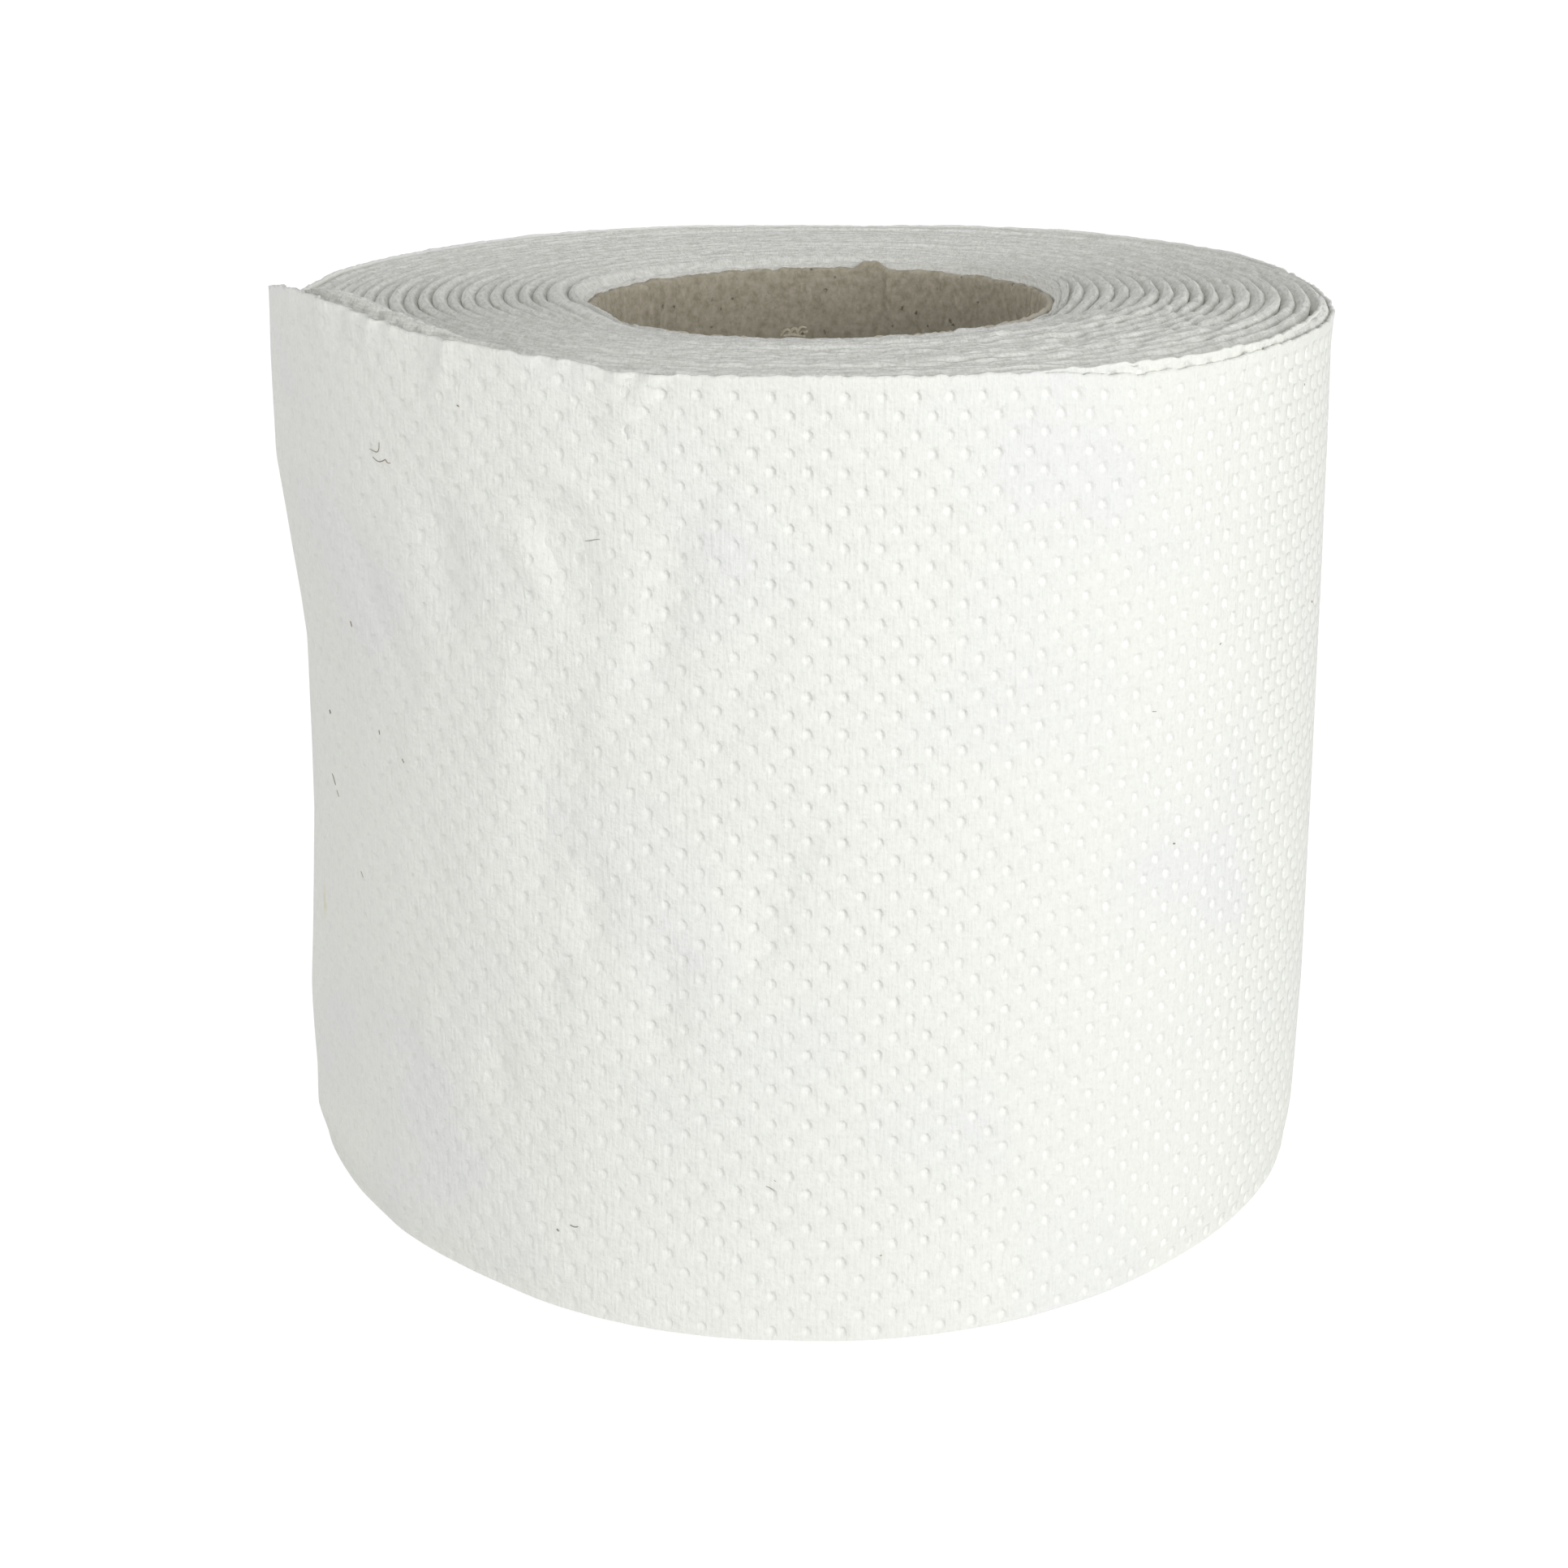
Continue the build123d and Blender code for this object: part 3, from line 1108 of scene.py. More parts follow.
@dataclass
class OuterSheet:
    """The sheet that shows: the loose tail and the outermost turn, which is split at the back."""

    shape: WallShape
    sheet: EmbossedSheet
    paper: bpy.types.Material
    front_columns: int = 54
    stretch_from: tuple = (-57.06, 22.32, 48.24, 67.68, 99.96, 347.94)
    stretch_to: tuple = (-57.06, 24.37, 49.22, 67.1, 95.7, 347.94)
    row_spread: tuple = (1.033, 0.00071)
    fan: float = 0.00075
    fan_middle: tuple = (28, 50)
    fan_start: tuple = (-45, 35)
    fan_end: tuple = (110, 40)
    growth: tuple = (0.16, 0.3)
    growth_range: tuple = (78, 100, 22)
    tail_depth: float = 0.75
    deepening: tuple = (-8, 30)
    right_depth: float = 1.25
    right_range: tuple = (80, 96, 24)
    # Painted highlight on the pin marks along the sheet, strongest on the right of the roll where the light
    # falls
    highlight_places: tuple = (-20, 0, 40, 62, 96, 120)
    paleness: tuple = (0.1, 0.25, 0.45, 1, 1, 0.4)
    top_start: tuple = (93.6, 1.4)
    fray: tuple = (Ripple(0.10, 0.9, lane=11), Ripple(0.09, 0.45, lane=57), Ripple(0.08, 3.1, lane=80))
    calm: float = 0.6
    calm_start: tuple = (110, 20)
    edge_waves: tuple = (Ripple(0.12, 1.3, lane=5),)
    rim_width: float = 0.1
    edge_light: tuple = (0, 0, 0.8)
    pleats: tuple = (Ripple(0.2, 2.4, lane=21),)
    pleat_range: tuple = (-56, 3, 5)
    pleat_heights: tuple = (87, 8)
    tight_pleats: tuple = (Ripple(0.42, 1.5, lane=35),)
    tight_range: tuple = (-42, 4, 8)
    tight_heights: tuple = (89, 6)
    tight_reach: tuple = (Ripple(2, 4, lane=13),)
    tight_lean: float = 0.3

    def layers(self) -> tuple[Array, Array, Array, Array]:
        """Bends both faces of the sheet round the roll. The tail's marks go through to its inner face.

        Returns:
            All points, their flat places, the triangles, and the point behind each outer point.
        """
        sheet = self.sheet
        flat = sheet.lay_out(self.paper)
        (outer, outer_faces), (plain, plain_faces) = flat[Side.OUTER], flat[Side.INNER]
        outer, plain = outer + (sheet.start, 0, 0), plain + (sheet.start, 0, 0)
        is_tail = sheet.cell_place(outer[outer_faces]) < sheet.root
        on_wall = sheet.cell_place(plain[plain_faces]) >= sheet.root
        count = len(outer)
        faces = np.concatenate([outer_faces, outer_faces[is_tail][:, ::-1] + count,
                                plain_faces[on_wall][:, ::-1] + 2 * count])
        flat_points = np.concatenate([outer, outer, plain])
        sides = np.repeat([1, -1, -1], [count, count, len(plain)])
        ragged = self.ragged(self.laid(flat_points))
        points = np.empty_like(flat_points)
        for side in Side:
            points[sides == side.value] = self.shape.place(*ragged[sides == side.value].T, side)
        plain_keys = place_keys(plain)
        order = np.argsort(plain_keys)
        found = np.searchsorted(plain_keys[order], place_keys(outer))
        partner = order[np.minimum(found, len(order) - 1)] + 2 * count
        return points, flat_points, faces, partner

    def laid(self, flat: Array) -> Array:
        """Lays the marks as the machine left them: unevenly spaced, and deeper and taller on the right.

        Args:
            flat: Flat places on the sheet.

        Returns:
            The moved places.
        """
        share = window(flat[:, 0], *self.growth_range)
        a, v, out = self.sheet.grown(flat, share, self.growth).T
        a = np.interp(a, self.stretch_from, self.stretch_to)
        v = v * (self.row_spread[0] - self.row_spread[1] * v)
        fan_a, fan_v = self.fan_middle
        fanned = self.fan * ramp(a, *self.fan_start) * (1 - ramp(a, *self.fan_end))
        a = a + (a - fan_a) * (fan_v - v) * fanned
        depth = self.tail_depth + (1 - self.tail_depth) * ramp(a, *self.deepening)
        out = out * (depth + self.right_depth * window(a, *self.right_range))
        return np.stack([a, v, out], axis=-1)

    def ragged(self, laid: Array) -> Array:
        """Frays the top edge, and pleats it a little on the tail.

        Args:
            laid: Places on the sheet.

        Returns:
            The moved places.
        """
        a, v, out = laid.T
        noise = self.shape.noise
        top = ramp(v, *self.top_start)
        v = v + top * noise.layered(self.fray, a) * (1 - self.calm * ramp(a, *self.calm_start))
        out = out + top * noise.layered(self.edge_waves, a)
        pleated = window(a, *self.pleat_range) * ramp(v, *self.pleat_heights)
        reached = v - noise.layered(self.tight_reach, a)
        tight = window(a, *self.tight_range) * ramp(reached, *self.tight_heights)
        leaning = a + (ROLL_HEIGHT - v) * self.tight_lean
        out = out + pleated * noise.layered(self.pleats, a)
        out = out + tight * noise.layered(self.tight_pleats, leaning)
        return np.stack([a, v, out], axis=-1)

    def build(self) -> list[bpy.types.Object]:
        """Makes the pieces.

        Returns:
            The loose tail and the two halves of the outermost turn.
        """
        points, flat, faces, partner = self.layers()
        count = len(partner)
        normals = vertex_normals(points, faces)
        rim = flat[:, 1] > self.sheet.top_heights[-1] - self.rim_width
        normals[rim] += self.edge_light
        normals[rim] /= np.linalg.norm(normals[rim], axis=1, keepdims=True)
        # Painted highlight on the pin marks
        pressed = np.clip(-flat[:, 2] / self.sheet.mark_depth, 0, 1)
        pressed = pressed * np.interp(flat[:, 0], self.highlight_places, self.paleness)
        place = self.sheet.cell_place(flat[faces])
        root = self.sheet.root
        split = root + self.front_columns * self.sheet.pitch
        pieces = []
        for name, start, end, behind in (
                ("loose_tail", -math.inf, root, np.arange(count) + count),
                ("outermost_turn_front", root, split, partner),
                ("outermost_turn_back", split, math.inf, partner)):
            chosen = faces[(place >= start) & (place < end)]
            chosen = np.concatenate([chosen, rim_faces(chosen[chosen.max(axis=1) < count], behind)])
            used, numbers = np.unique(chosen, return_inverse=True)
            pieces.append(mesh_object(name, points[used], numbers.reshape(chosen.shape), self.paper,
                                      flat[used, :2], normals[used], pressed[used]))
        return pieces


@dataclass
class InnerTurnEdge:
    """The upper edge of the next turn in, which shows above the outermost turn where that has slipped."""

    shape: WallShape
    paper: bpy.types.Material
    name: str = "inner_turn_edge"
    start_azimuth: float = -76.0
    columns: int = 30
    rows: int = 4
    top_heights: tuple = (7.5, 7.65)
    seed: int = 19
    bottom: float = 87.95
    height: float = 7.4
    top_start: tuple = (5.45, 2)
    depth: float = 0.42
    thickness: float = 0.3
    lean: float = 0.9
    lean_range: tuple = (-26, -8, 16)
    drop_azimuths: tuple = (-76, -68, -62, -44, -33, -22, -14, -5, 5, 20)
    drops: tuple = (-1.3, -0.7, -0.75, -0.95, -1.05, -1.1, -1.15, -1.4, -2.1, -3.0)
    squeeze: float = 0.91
    fray: tuple = (Ripple(0.12, 0.8, lane=61), Ripple(0.1, 2.6, lane=66))
    waves: tuple = (Ripple(0.1, 1.5, lane=71),)

    def build(self) -> bpy.types.Object:
        """Makes a short band of the embossed sheet just inside the outermost turn.

        Returns:
            The band.
        """
        sheet = EmbossedSheet(
            tail_columns=0, wall_columns=self.columns, rows=self.rows, top_heights=self.top_heights,
            seed=self.seed)
        outer, faces = sheet.lay_out(self.paper)[Side.OUTER]
        start = self.shape.place_along(self.start_azimuth)
        a, v, out = (outer + (start, self.bottom, 0)).T
        a = start + (a - start) * self.squeeze
        noise = self.shape.noise
        azimuth = self.shape.azimuth(a)
        up = v - self.bottom
        top = ramp(up, *self.top_start)
        drop = np.interp(azimuth, self.drop_azimuths, self.drops)
        v = v + top * noise.layered(self.fray, a) + ramp(up, 0, self.height) * drop
        out = out + top * (noise.layered(self.waves, a) - self.lean * window(azimuth, *self.lean_range))
        radius = self.shape.wall_radius(a) + self.shape.relief(a, v) + out - self.depth
        points = np.concatenate([polar(radius, azimuth, v), polar(radius - self.thickness, azimuth, v)])
        count = len(outer)
        closed = np.concatenate([faces, faces[:, ::-1] + count, rim_faces(faces, np.arange(count) + count)])
        # Painted highlight on the pin marks
        pressed = np.tile(np.clip(-outer[:, 2] / sheet.mark_depth, 0, 1), 2)
        uv = np.tile(np.stack([a, v], axis=-1), (2, 1))
        return mesh_object(self.name, points, closed, self.paper, uv, paleness=pressed)


@dataclass
class RaisedTurnEdge(InnerTurnEdge):
    """The upper edge of a turn that stands up a little behind the loose tail, and leans in over the rest."""

    name: str = "raised_turn_edge"
    start_azimuth: float = -166.0
    columns: int = 17
    bottom: float = 91.4
    depth: float = 0.5
    lean: float = 1.5
    lean_range: tuple = (-152, -118, 16)
    drop_azimuths: tuple = (-166, -160, -150, -143, -140, -136, -130, -127, -122, -118, -114, -110)
    drops: tuple = (-3.5, -1.6, -0.15, -0.05, -0.3, -0.85, -1.65, -2.05, -2.6, -3.3, -4.3, -5.5)


@dataclass
class WoundTurns:
    """The edges of the wound turns on top, and the plain body of turns under them.

    Each turn slopes up from a crevice to a rounded crest on its outer side.
    """

    shape: WallShape
    paper: bpy.types.Material
    edges: bpy.types.Material
    turns: int = 19
    points_a_turn: int = 64
    step: float = 0.52
    first_crest: float = 26.45
    last_crest: float = 55.0
    left_start: float = 26.3
    left_pitch: float = 1.5
    left_fade: float = 0.25
    side_start: tuple = (-0.1, 1.0)
    start_length: float = 0.3
    slipped: tuple = (-80, 20, 12)
    slipped_turns: float = 0.6
    relief_height: float = 92.0
    relief_power: int = 12
    section: tuple = (
        (0, 1.0), (0.13, 0.84), (0.28, 0.5), (0.43, 0.15), (0.56, 0), (0.7, 0.1), (0.86, 0.42), (1, 0.86))
    crest_depth: float = 0.7
    usual_width: float = 1.5
    width_limits: tuple = (0.2, 1.3)
    width_power: float = 0.7
    bore_depth: float = 0.3
    bore_end: tuple = (0.9, 0.4)
    depth_waves: tuple = (Ripple(0.35, 23, 1 / 1.3, lane=5),)
    ruffles: tuple = (Ripple(0.5, 3.1, 1), Ripple(0.5, 1.25, 1, lane=40), Ripple(0.35, 8, 1, lane=80))
    ruffle_lane: float = 0.41
    ruffle_width: float = 0.28
    width_lane: float = 3.0
    ruffle_skew: float = 1.6
    ruffle_height: float = 0.3
    height_lane: float = 9.0
    calm: float = 0.3
    calm_left: tuple = (-0.75, 1.2)
    calm_back: tuple = (-0.8, 1.2)
    level_waves: tuple = (Ripple(0.2, 60, 3),)
    start_drop: float = 1.0
    start_drop_length: float = 0.2
    right_drop: float = 0.35
    right_range: tuple = (-44, -16, 12)
    right_end: tuple = (0.9, 1.0)
    dish: float = 1.5
    dish_turns: float = 6.2
    dish_range: tuple = (-128, -30, 26)
    back_drop: float = 0.3
    edge_recess: float = 0.12
    edge_power: int = 8
    base_top: float = 88.0
    base_step: float = 2.0
    base_edge: float = 0.5
    base_bevel: float = 0.2
    base_inset: float = 2.4
    inset_start: tuple = (-1.4, 0.2)
    lining_width: float = 0.22
    right_lining: float = 0.45
    lining_points: int = 540
    lining_rise: float = 0.3
    lining_waves: tuple = (Ripple(0.12, 1.7, lane=3), Ripple(0.14, 9, lane=8))
    lining_crest: float = 2.0
    crest_start: tuple = (-18, 22)
    lining_dips: tuple = ((0.2, (-128, -30, 20)), (0.25, (-44, -18, 6)))
    lining_section: tuple = ((0.0, 0.3), (0.4, 0.06), (0.7, 0.0), (1.08, 0.02))
    lining_pattern: tuple = (0.44, 0.8)

    def spiral_tree(self) -> bpy.types.NodeTree:
        """Builds the tree that sweeps a closed section along the spiral of the turns.

        Returns:
            The tree, which stores each point's turn and corner.
        """
        tree, add, given = new_geometry_tree(
            "spiral_sweep", Turns="Float", Start_Radius="Float", End_Radius="Float", Step="Float",
            Section="Object")
        spiral = add("GeometryNodeCurveSpiral", {
            "Resolution": self.points_a_turn, "Rotations": given["Turns"],
            "Start Radius": given["Start Radius"], "End Radius": given["End Radius"], "Height": 0.0,
            "Reverse": True})
        index = add("GeometryNodeInputIndex")
        turn = add("ShaderNodeMath", {0: index, 1: float(self.points_a_turn)}, operation="DIVIDE")
        counted = add("GeometryNodeStoreNamedAttribute", {
            "Geometry": spiral, "Name": "turn", "Value": turn}, data_type="FLOAT", domain="POINT")
        even = add("GeometryNodeResampleCurve", {"Curve": counted, "Length": given["Step"]}, mode="LENGTH")
        shape = add("GeometryNodeObjectInfo", {"Object": given["Section"]}).outputs["Geometry"]
        corner = add("GeometryNodeStoreNamedAttribute", {
            "Geometry": shape, "Name": "corner", "Value": index}, data_type="FLOAT", domain="POINT")
        swept = add("GeometryNodeCurveToMesh", {"Curve": even, "Profile Curve": corner, "Fill Caps": True})
        end_geometry_tree(add, swept, self.edges)
        return tree

    def sweep(self, corners: int, step: float) -> tuple[Array, Array, Array]:
        """Sweeps a section with some number of corners.

        Args:
            corners: How many corners the section has.
            step: How far apart the sections stand.

        Returns:
            Each point's turn and corner, and the triangles.
        """
        curve = bpy.data.curves.new("section", "CURVE")
        line = curve.splines.new("POLY")
        line.points.add(corners - 1)
        for i, point in enumerate(line.points):
            angle = math.tau * i / corners
            point.co = (0.5 * math.cos(angle), 0.5 * math.sin(angle), 0, 1)
        line.use_cyclic_u = True
        section = bpy.data.objects.new("section", curve)
        mesh = run_tree(self.spiral_tree(), {
            "Turns": float(self.turns), "Start Radius": self.first_crest, "End Radius": self.last_crest,
            "Step": step, "Section": section})
        bpy.data.objects.remove(section)
        turn, corner = (values_of(mesh.attributes[name].data, "value")[:, 0] for name in ("turn", "corner"))
        return turn, np.round(corner).astype(int), triangles_of(mesh)

    def bore(self, azimuth: Array) -> Array:
        """How far the bore's wall is from the middle of the turns at an azimuth."""
        turn = np.radians(azimuth)
        return CORE_OFFSET * np.cos(turn) + np.sqrt(BORE_RADIUS ** 2 - (CORE_OFFSET * np.sin(turn)) ** 2)

    def lining(self, azimuth: Array) -> Array:
        """How thick the lining of the bore is at an azimuth: more on the right, where it is a crest."""
        rightness = ramp(np.cos(np.radians(azimuth)), *self.side_start)
        return self.lining_width + self.right_lining * rightness

    def azimuth(self, turn: Array) -> Array:
        """The azimuth, in degrees, at a number of turns from the spiral's start."""
        return self.shape.root - 360 * (turn - self.turns)

    def outside(self, turn: Array) -> Array:
        """The radius of each turn's outer side: evenly spaced on the right, closer on the left.

        Args:
            turn: The number of turns from the spiral's start.

        Returns:
            Radii round the middle of the turns.
        """
        shape, azimuth, last = self.shape, self.azimuth(turn), self.turns - 1
        pitch = (shape.radius - shape.step - shape.thickness - self.first_crest) / last
        right = self.first_crest + pitch * turn
        left = self.left_start + self.left_pitch * turn
        leftness = ramp(-np.cos(np.radians(azimuth)), *self.side_start)
        radius = right + (left - right) * leftness * ramp(last - turn, 0, self.left_fade)
        along = (azimuth - shape.root) / 360 % 1 * shape.turn_length
        under = shape.wall_radius(along) - 2 * shape.thickness
        next_in = (turn > last - self.slipped_turns) & (turn <= last)
        shown = window(centred(azimuth), *self.slipped) * next_in
        radius = radius + (under - radius) * shown
        start = self.bore(azimuth) + self.lining(azimuth)
        radius = start + (radius - start) * ramp(turn, 0, self.start_length)
        wall = shape.wall_radius((self.turns - turn) * shape.turn_length) - shape.thickness
        relief = shape.relief(along, np.full_like(turn, self.relief_height))
        return np.where(turn > last, wall, radius) + relief * (turn / self.turns) ** self.relief_power

    def inside(self, turn: Array) -> Array:
        """The radius of each turn's inner side: the turn inside it, or the ring round the bore."""
        ring = self.bore(self.azimuth(turn)) + self.lining(self.azimuth(turn))
        return np.where(turn < 1, ring, np.maximum(self.outside(np.maximum(turn - 1, 0)), ring))

    def ruffle(self, turn: Array, lane: float) -> Array:
        """A short-waved unevenness along the turns, strong at the front and right and faint on the left.

        Args:
            turn: The number of turns from the spiral's start.
            lane: Where the noise is read.

        Returns:
            Values of about -1 to 1.
        """
        azimuth = np.radians(self.azimuth(turn))
        lively = ramp(np.cos(azimuth), *self.calm_left) * ramp(-np.sin(azimuth), *self.calm_back)
        strength = self.calm + (1 - self.calm) * lively
        along, lane = turn * self.shape.turn_length, lane + self.ruffle_lane * turn
        return strength * self.shape.noise.layered(self.ruffles, along, lane)

    def level(self, turn: Array) -> Array:
        """How high the crest of each turn lies.

        Args:
            turn: The number of turns from the spiral's start.

        Returns:
            Heights above the floor.
        """
        azimuth = self.azimuth(turn)
        here = centred(azimuth)
        level = (ROLL_HEIGHT + self.ruffle_height * self.ruffle(turn, self.height_lane)
                 + self.shape.noise.layered(self.level_waves, azimuth, turn))
        level = level - self.start_drop * (1 - ramp(turn, 0, self.start_drop_length))
        level = level - self.right_drop * window(here, *self.right_range) * (1 - ramp(turn, *self.right_end))
        dished = np.clip(1 - turn / self.dish_turns, 0, 1) * window(here, *self.dish_range)
        level = level - self.dish * dished
        level = level - self.back_drop * smooth_step(np.sin(np.radians(azimuth)))
        edge = self.shape.edge((azimuth - self.shape.root) % 360 + self.shape.root) - self.edge_recess
        level = level + (np.minimum(edge, ROLL_HEIGHT) - level) * (turn / self.turns) ** self.edge_power
        return np.where(turn > self.turns - 1, edge, level)

    def top(self) -> bpy.types.Object:
        """Makes the edges of the turns, whose section has two more corners on the body.

        Returns:
            The piece.
        """
        count = len(self.section)
        turn, corner, faces = self.sweep(count + 2, self.step)
        across = np.array([t for t, _ in self.section] + [0.5, 0])[corner]
        depth = np.array([d for _, d in self.section] + [0, 0])[corner]
        inner, outer, azimuth = self.inside(turn), self.outside(turn), self.azimuth(turn)
        skewed = np.sin(math.pi * across ** self.ruffle_skew)
        ruffle = self.ruffle_width * self.ruffle(turn, self.width_lane) * skewed
        width = np.clip((outer - inner) / self.usual_width, *self.width_limits) ** self.width_power
        near_bore = (1 + self.bore_depth * (1 - ramp(turn, *self.bore_end))
                     + self.shape.noise.layered(self.depth_waves, azimuth, turn))
        crest = self.level(turn) - self.crest_depth * width * near_bore * depth
        z = np.where(corner >= count, self.base_top, crest)
        points = polar(inner + across * (outer - inner) + ruffle, azimuth, z)
        uv = np.stack([turn * self.shape.turn_length, (turn + across) * self.usual_width], axis=-1)
        return mesh_object("wound_turns_top", points, solid_faces(points, faces), self.edges, uv)

    def body(self) -> bpy.types.Object:
        """Makes the turns below their edges, with rounded edges at the foot.

        Returns:
            The piece.
        """
        shares = np.array([0, 1, 1, 1 - self.base_bevel, self.base_bevel, 0])
        heights = np.array([self.base_top, self.base_top, self.base_edge, 0, 0, self.base_edge])
        turn, corner, faces = self.sweep(len(shares), self.base_step)
        inner, outer = self.inside(turn), self.outside(turn)
        outer = outer - self.base_inset * ramp(turn - self.turns, *self.inset_start)
        z = heights[corner]
        points = polar(inner + shares[corner] * (outer - inner), self.azimuth(turn), z)
        uv = np.stack([turn * self.shape.turn_length, z], axis=-1)
        return mesh_object("wound_turns_body", points, solid_faces(points, faces), self.paper, uv)

    def bore_lining(self) -> bpy.types.Object:
        """Makes the innermost layer, which lines the bore and shows as a thin pale line round the core.

        Returns:
            The piece.
        """
        azimuth = np.linspace(-180, 180, self.lining_points, endpoint=False)
        inner, wide = self.bore(azimuth), self.lining(azimuth)
        top = CORE_TOP + self.lining_rise + self.shape.noise.layered(self.lining_waves, azimuth)
        top = top + self.lining_crest * (wide - self.lining_width) * ramp(azimuth, *self.crest_start)
        top = top - sum(depth * window(azimuth, *place) for depth, place in self.lining_dips)
        (first, _), (last, _) = self.lining_section[0], self.lining_section[-1]
        rows = [(first, 0 * top), *((share, top - drop) for share, drop in self.lining_section),
                (last, 0 * top)]
        points, faces = lathed([(inner + share * wide, z) for share, z in rows], azimuth)
        share = np.repeat([share for share, _ in rows], len(azimuth))
        round_it, across = self.lining_pattern
        uv = np.stack([np.tile(azimuth, len(rows)) * round_it, share * across + points[:, 2]], axis=-1)
        return mesh_object("bore_lining", points, faces, self.edges, uv)

    def build(self) -> list[bpy.types.Object]:
        """Makes the edges of the turns, the body under them and the lining of the bore."""
        return [self.top(), self.body(), self.bore_lining()]


@dataclass(frozen=True)
class Fibre:
    """A fibre or speck: its place on the wall, its thickness, and its path in millimetres from there."""

    azimuth: float
    z: float
    thickness: float
    path: tuple


@dataclass
class PaperFibres:
    """Stray fibres and specks on a wall."""

    shape: WallShape
    finish: bpy.types.Material
    name: str = "paper_fibres"
    sides: int = 6
    raised: float = 0.4
    tip: float = 0.6
    rounds: int = 6
    fibres: tuple = (
        Fibre(-136.6, 85.4, 0.045, ((-1.5, 0.1), (-0.9, 0.0), (-0.3, -0.1), (0.1, 0.3), (0.05, 0.9))),
        Fibre(-136.4, 84.7, 0.05, (
            (-1.2, 0.1), (-0.5, -0.3), (0.3, -0.1), (0.8, 0.2), (1.0, -0.2), (1.5, -0.1))),
        Fibre(-110.8, 80.0, 0.04, ((-0.8, -0.1), (-0.2, 0.0), (0.3, 0.2), (0.8, 0.25))),
        Fibre(-124.9, 91.1, 0.1, ((-0.1, 0.05), (0.12, -0.05))),
        Fibre(-50.9, 47.4, 0.13, ((-0.1, 0.05), (0.12, 0.0))),
        Fibre(-83.4, 9.2, 0.07, ((-0.08, 0.0), (0.1, 0.1))),
        Fibre(-94.4, 16.7, 0.05, ((-0.5, 0.2), (0.0, 0.1), (0.3, -0.3))),
        Fibre(-117.5, 8.9, 0.13, ((-0.12, 0.1), (0.1, -0.1))),
        Fibre(-115.6, 9.6, 0.08, ((-0.4, 0.2), (0.1, 0.0), (0.5, 0.25))),
        Fibre(-153.3, 55.6, 0.12, ((-0.1, 0.1), (0.15, -0.2))),
        Fibre(-144.7, 67.0, 0.09, ((-0.15, 0.2), (0.1, -0.3))),
        Fibre(-140.3, 56.8, 0.08, ((0.0, 0.2), (0.1, -0.2))),
        Fibre(-135.9, 55.0, 0.07, ((-0.1, 0.1), (0.2, -0.2))),
        Fibre(-153.0, 48.4, 0.06, ((-0.6, 0.3), (0.0, 0.0), (0.4, -0.6))),
        Fibre(-152.0, 46.8, 0.05, ((-0.3, 0.5), (0.3, 0.0))),
        Fibre(-146.0, 40.0, 0.05, ((-0.2, 0.3), (0.3, -0.2))),
        Fibre(-45.2, 66.4, 0.07, ((-0.1, 0.0), (0.1, 0.1))),
        Fibre(-21.6, 65.3, 0.1, ((-0.1, 0.1), (0.1, -0.1))),
        Fibre(-54.4, 61.5, 0.05, ((-0.3, 0.1), (0.2, 0.0))),
        Fibre(-94.0, 17.5, 0.05, ((-0.1, 0.1), (0.1, 0.0))),
        Fibre(-29.6, 89.0, 0.06, ((0.0, 0.1), (0.1, -0.1))))

    def tree(self) -> bpy.types.NodeTree:
        """Builds the tree that gives each line its round section, thinner towards its ends.

        Returns:
            The tree.
        """
        tree, add, given = new_geometry_tree("fibre_sweep", Sides="Int", Thickness="Float")
        width = add("GeometryNodeInputRadius")
        sized = add("ShaderNodeMath", {0: width, 1: given["Thickness"]}, operation="MULTIPLY")
        lines = add("GeometryNodeSetCurveRadius", {"Curve": given["Geometry"], "Radius": sized})
        ring = add("GeometryNodeCurvePrimitiveCircle", {"Resolution": given["Sides"], "Radius": 1.0})
        swept = add("GeometryNodeCurveToMesh", {"Curve": lines, "Profile Curve": ring, "Fill Caps": True})
        if "Scale" in swept.inputs:
            tree.links.new(sized.outputs[0], swept.inputs["Scale"])
        end_geometry_tree(add, swept, self.finish)
        return tree

    def build(self) -> bpy.types.Object:
        """Lays the fibres on the wall.

        Returns:
            One piece with all of them.
        """
        lines = bpy.data.curves.new("fibre_lines", "CURVE")
        lines.dimensions = "3D"
        lines.resolution_u = 4
        for fibre in self.fibres:
            line = lines.splines.new("NURBS")
            line.points.add(len(fibre.path) - 1)
            start = self.shape.place_along(fibre.azimuth)
            for i, (point, (x, y)) in enumerate(zip(line.points, fibre.path)):
                point.co = (start + x, fibre.z + y, fibre.thickness * self.raised, 1)
                point.radius = fibre.thickness * (self.tip if i in (0, len(fibre.path) - 1) else 1.0)
            line.order_u = min(3, len(fibre.path))
            line.use_endpoint_u = True
        mesh = run_tree(self.tree(), {"Sides": self.sides, "Thickness": 1.0}, lines)
        a, z, out = values_of(mesh.vertices, "co", 3).T
        v = z.copy()
        # Each round comes closer to the place on the sheet that has the height z
        for _ in range(self.rounds):
            v += z - self.shape.height(self.shape.azimuth(a), v)
        return mesh_object(self.name, self.shape.place(a, v, out), triangles_of(mesh), self.finish)


@dataclass(frozen=True)
class Creases:
    """Creases inside the tube: their azimuths, their depth, and how far down they reach and fade."""

    azimuths: tuple
    depth: float
    reach: float
    fade: float
    width: float = 0.9

    def at(self, azimuth: Array, drop: float) -> Array:
        """How far they stand in from the wall, at some drop below the rim."""
        ridges = sum(np.exp(-((azimuth - place) / self.width) ** 2) for place in self.azimuths)
        return self.depth * ridges * smooth_step((self.reach - drop) / self.fade)


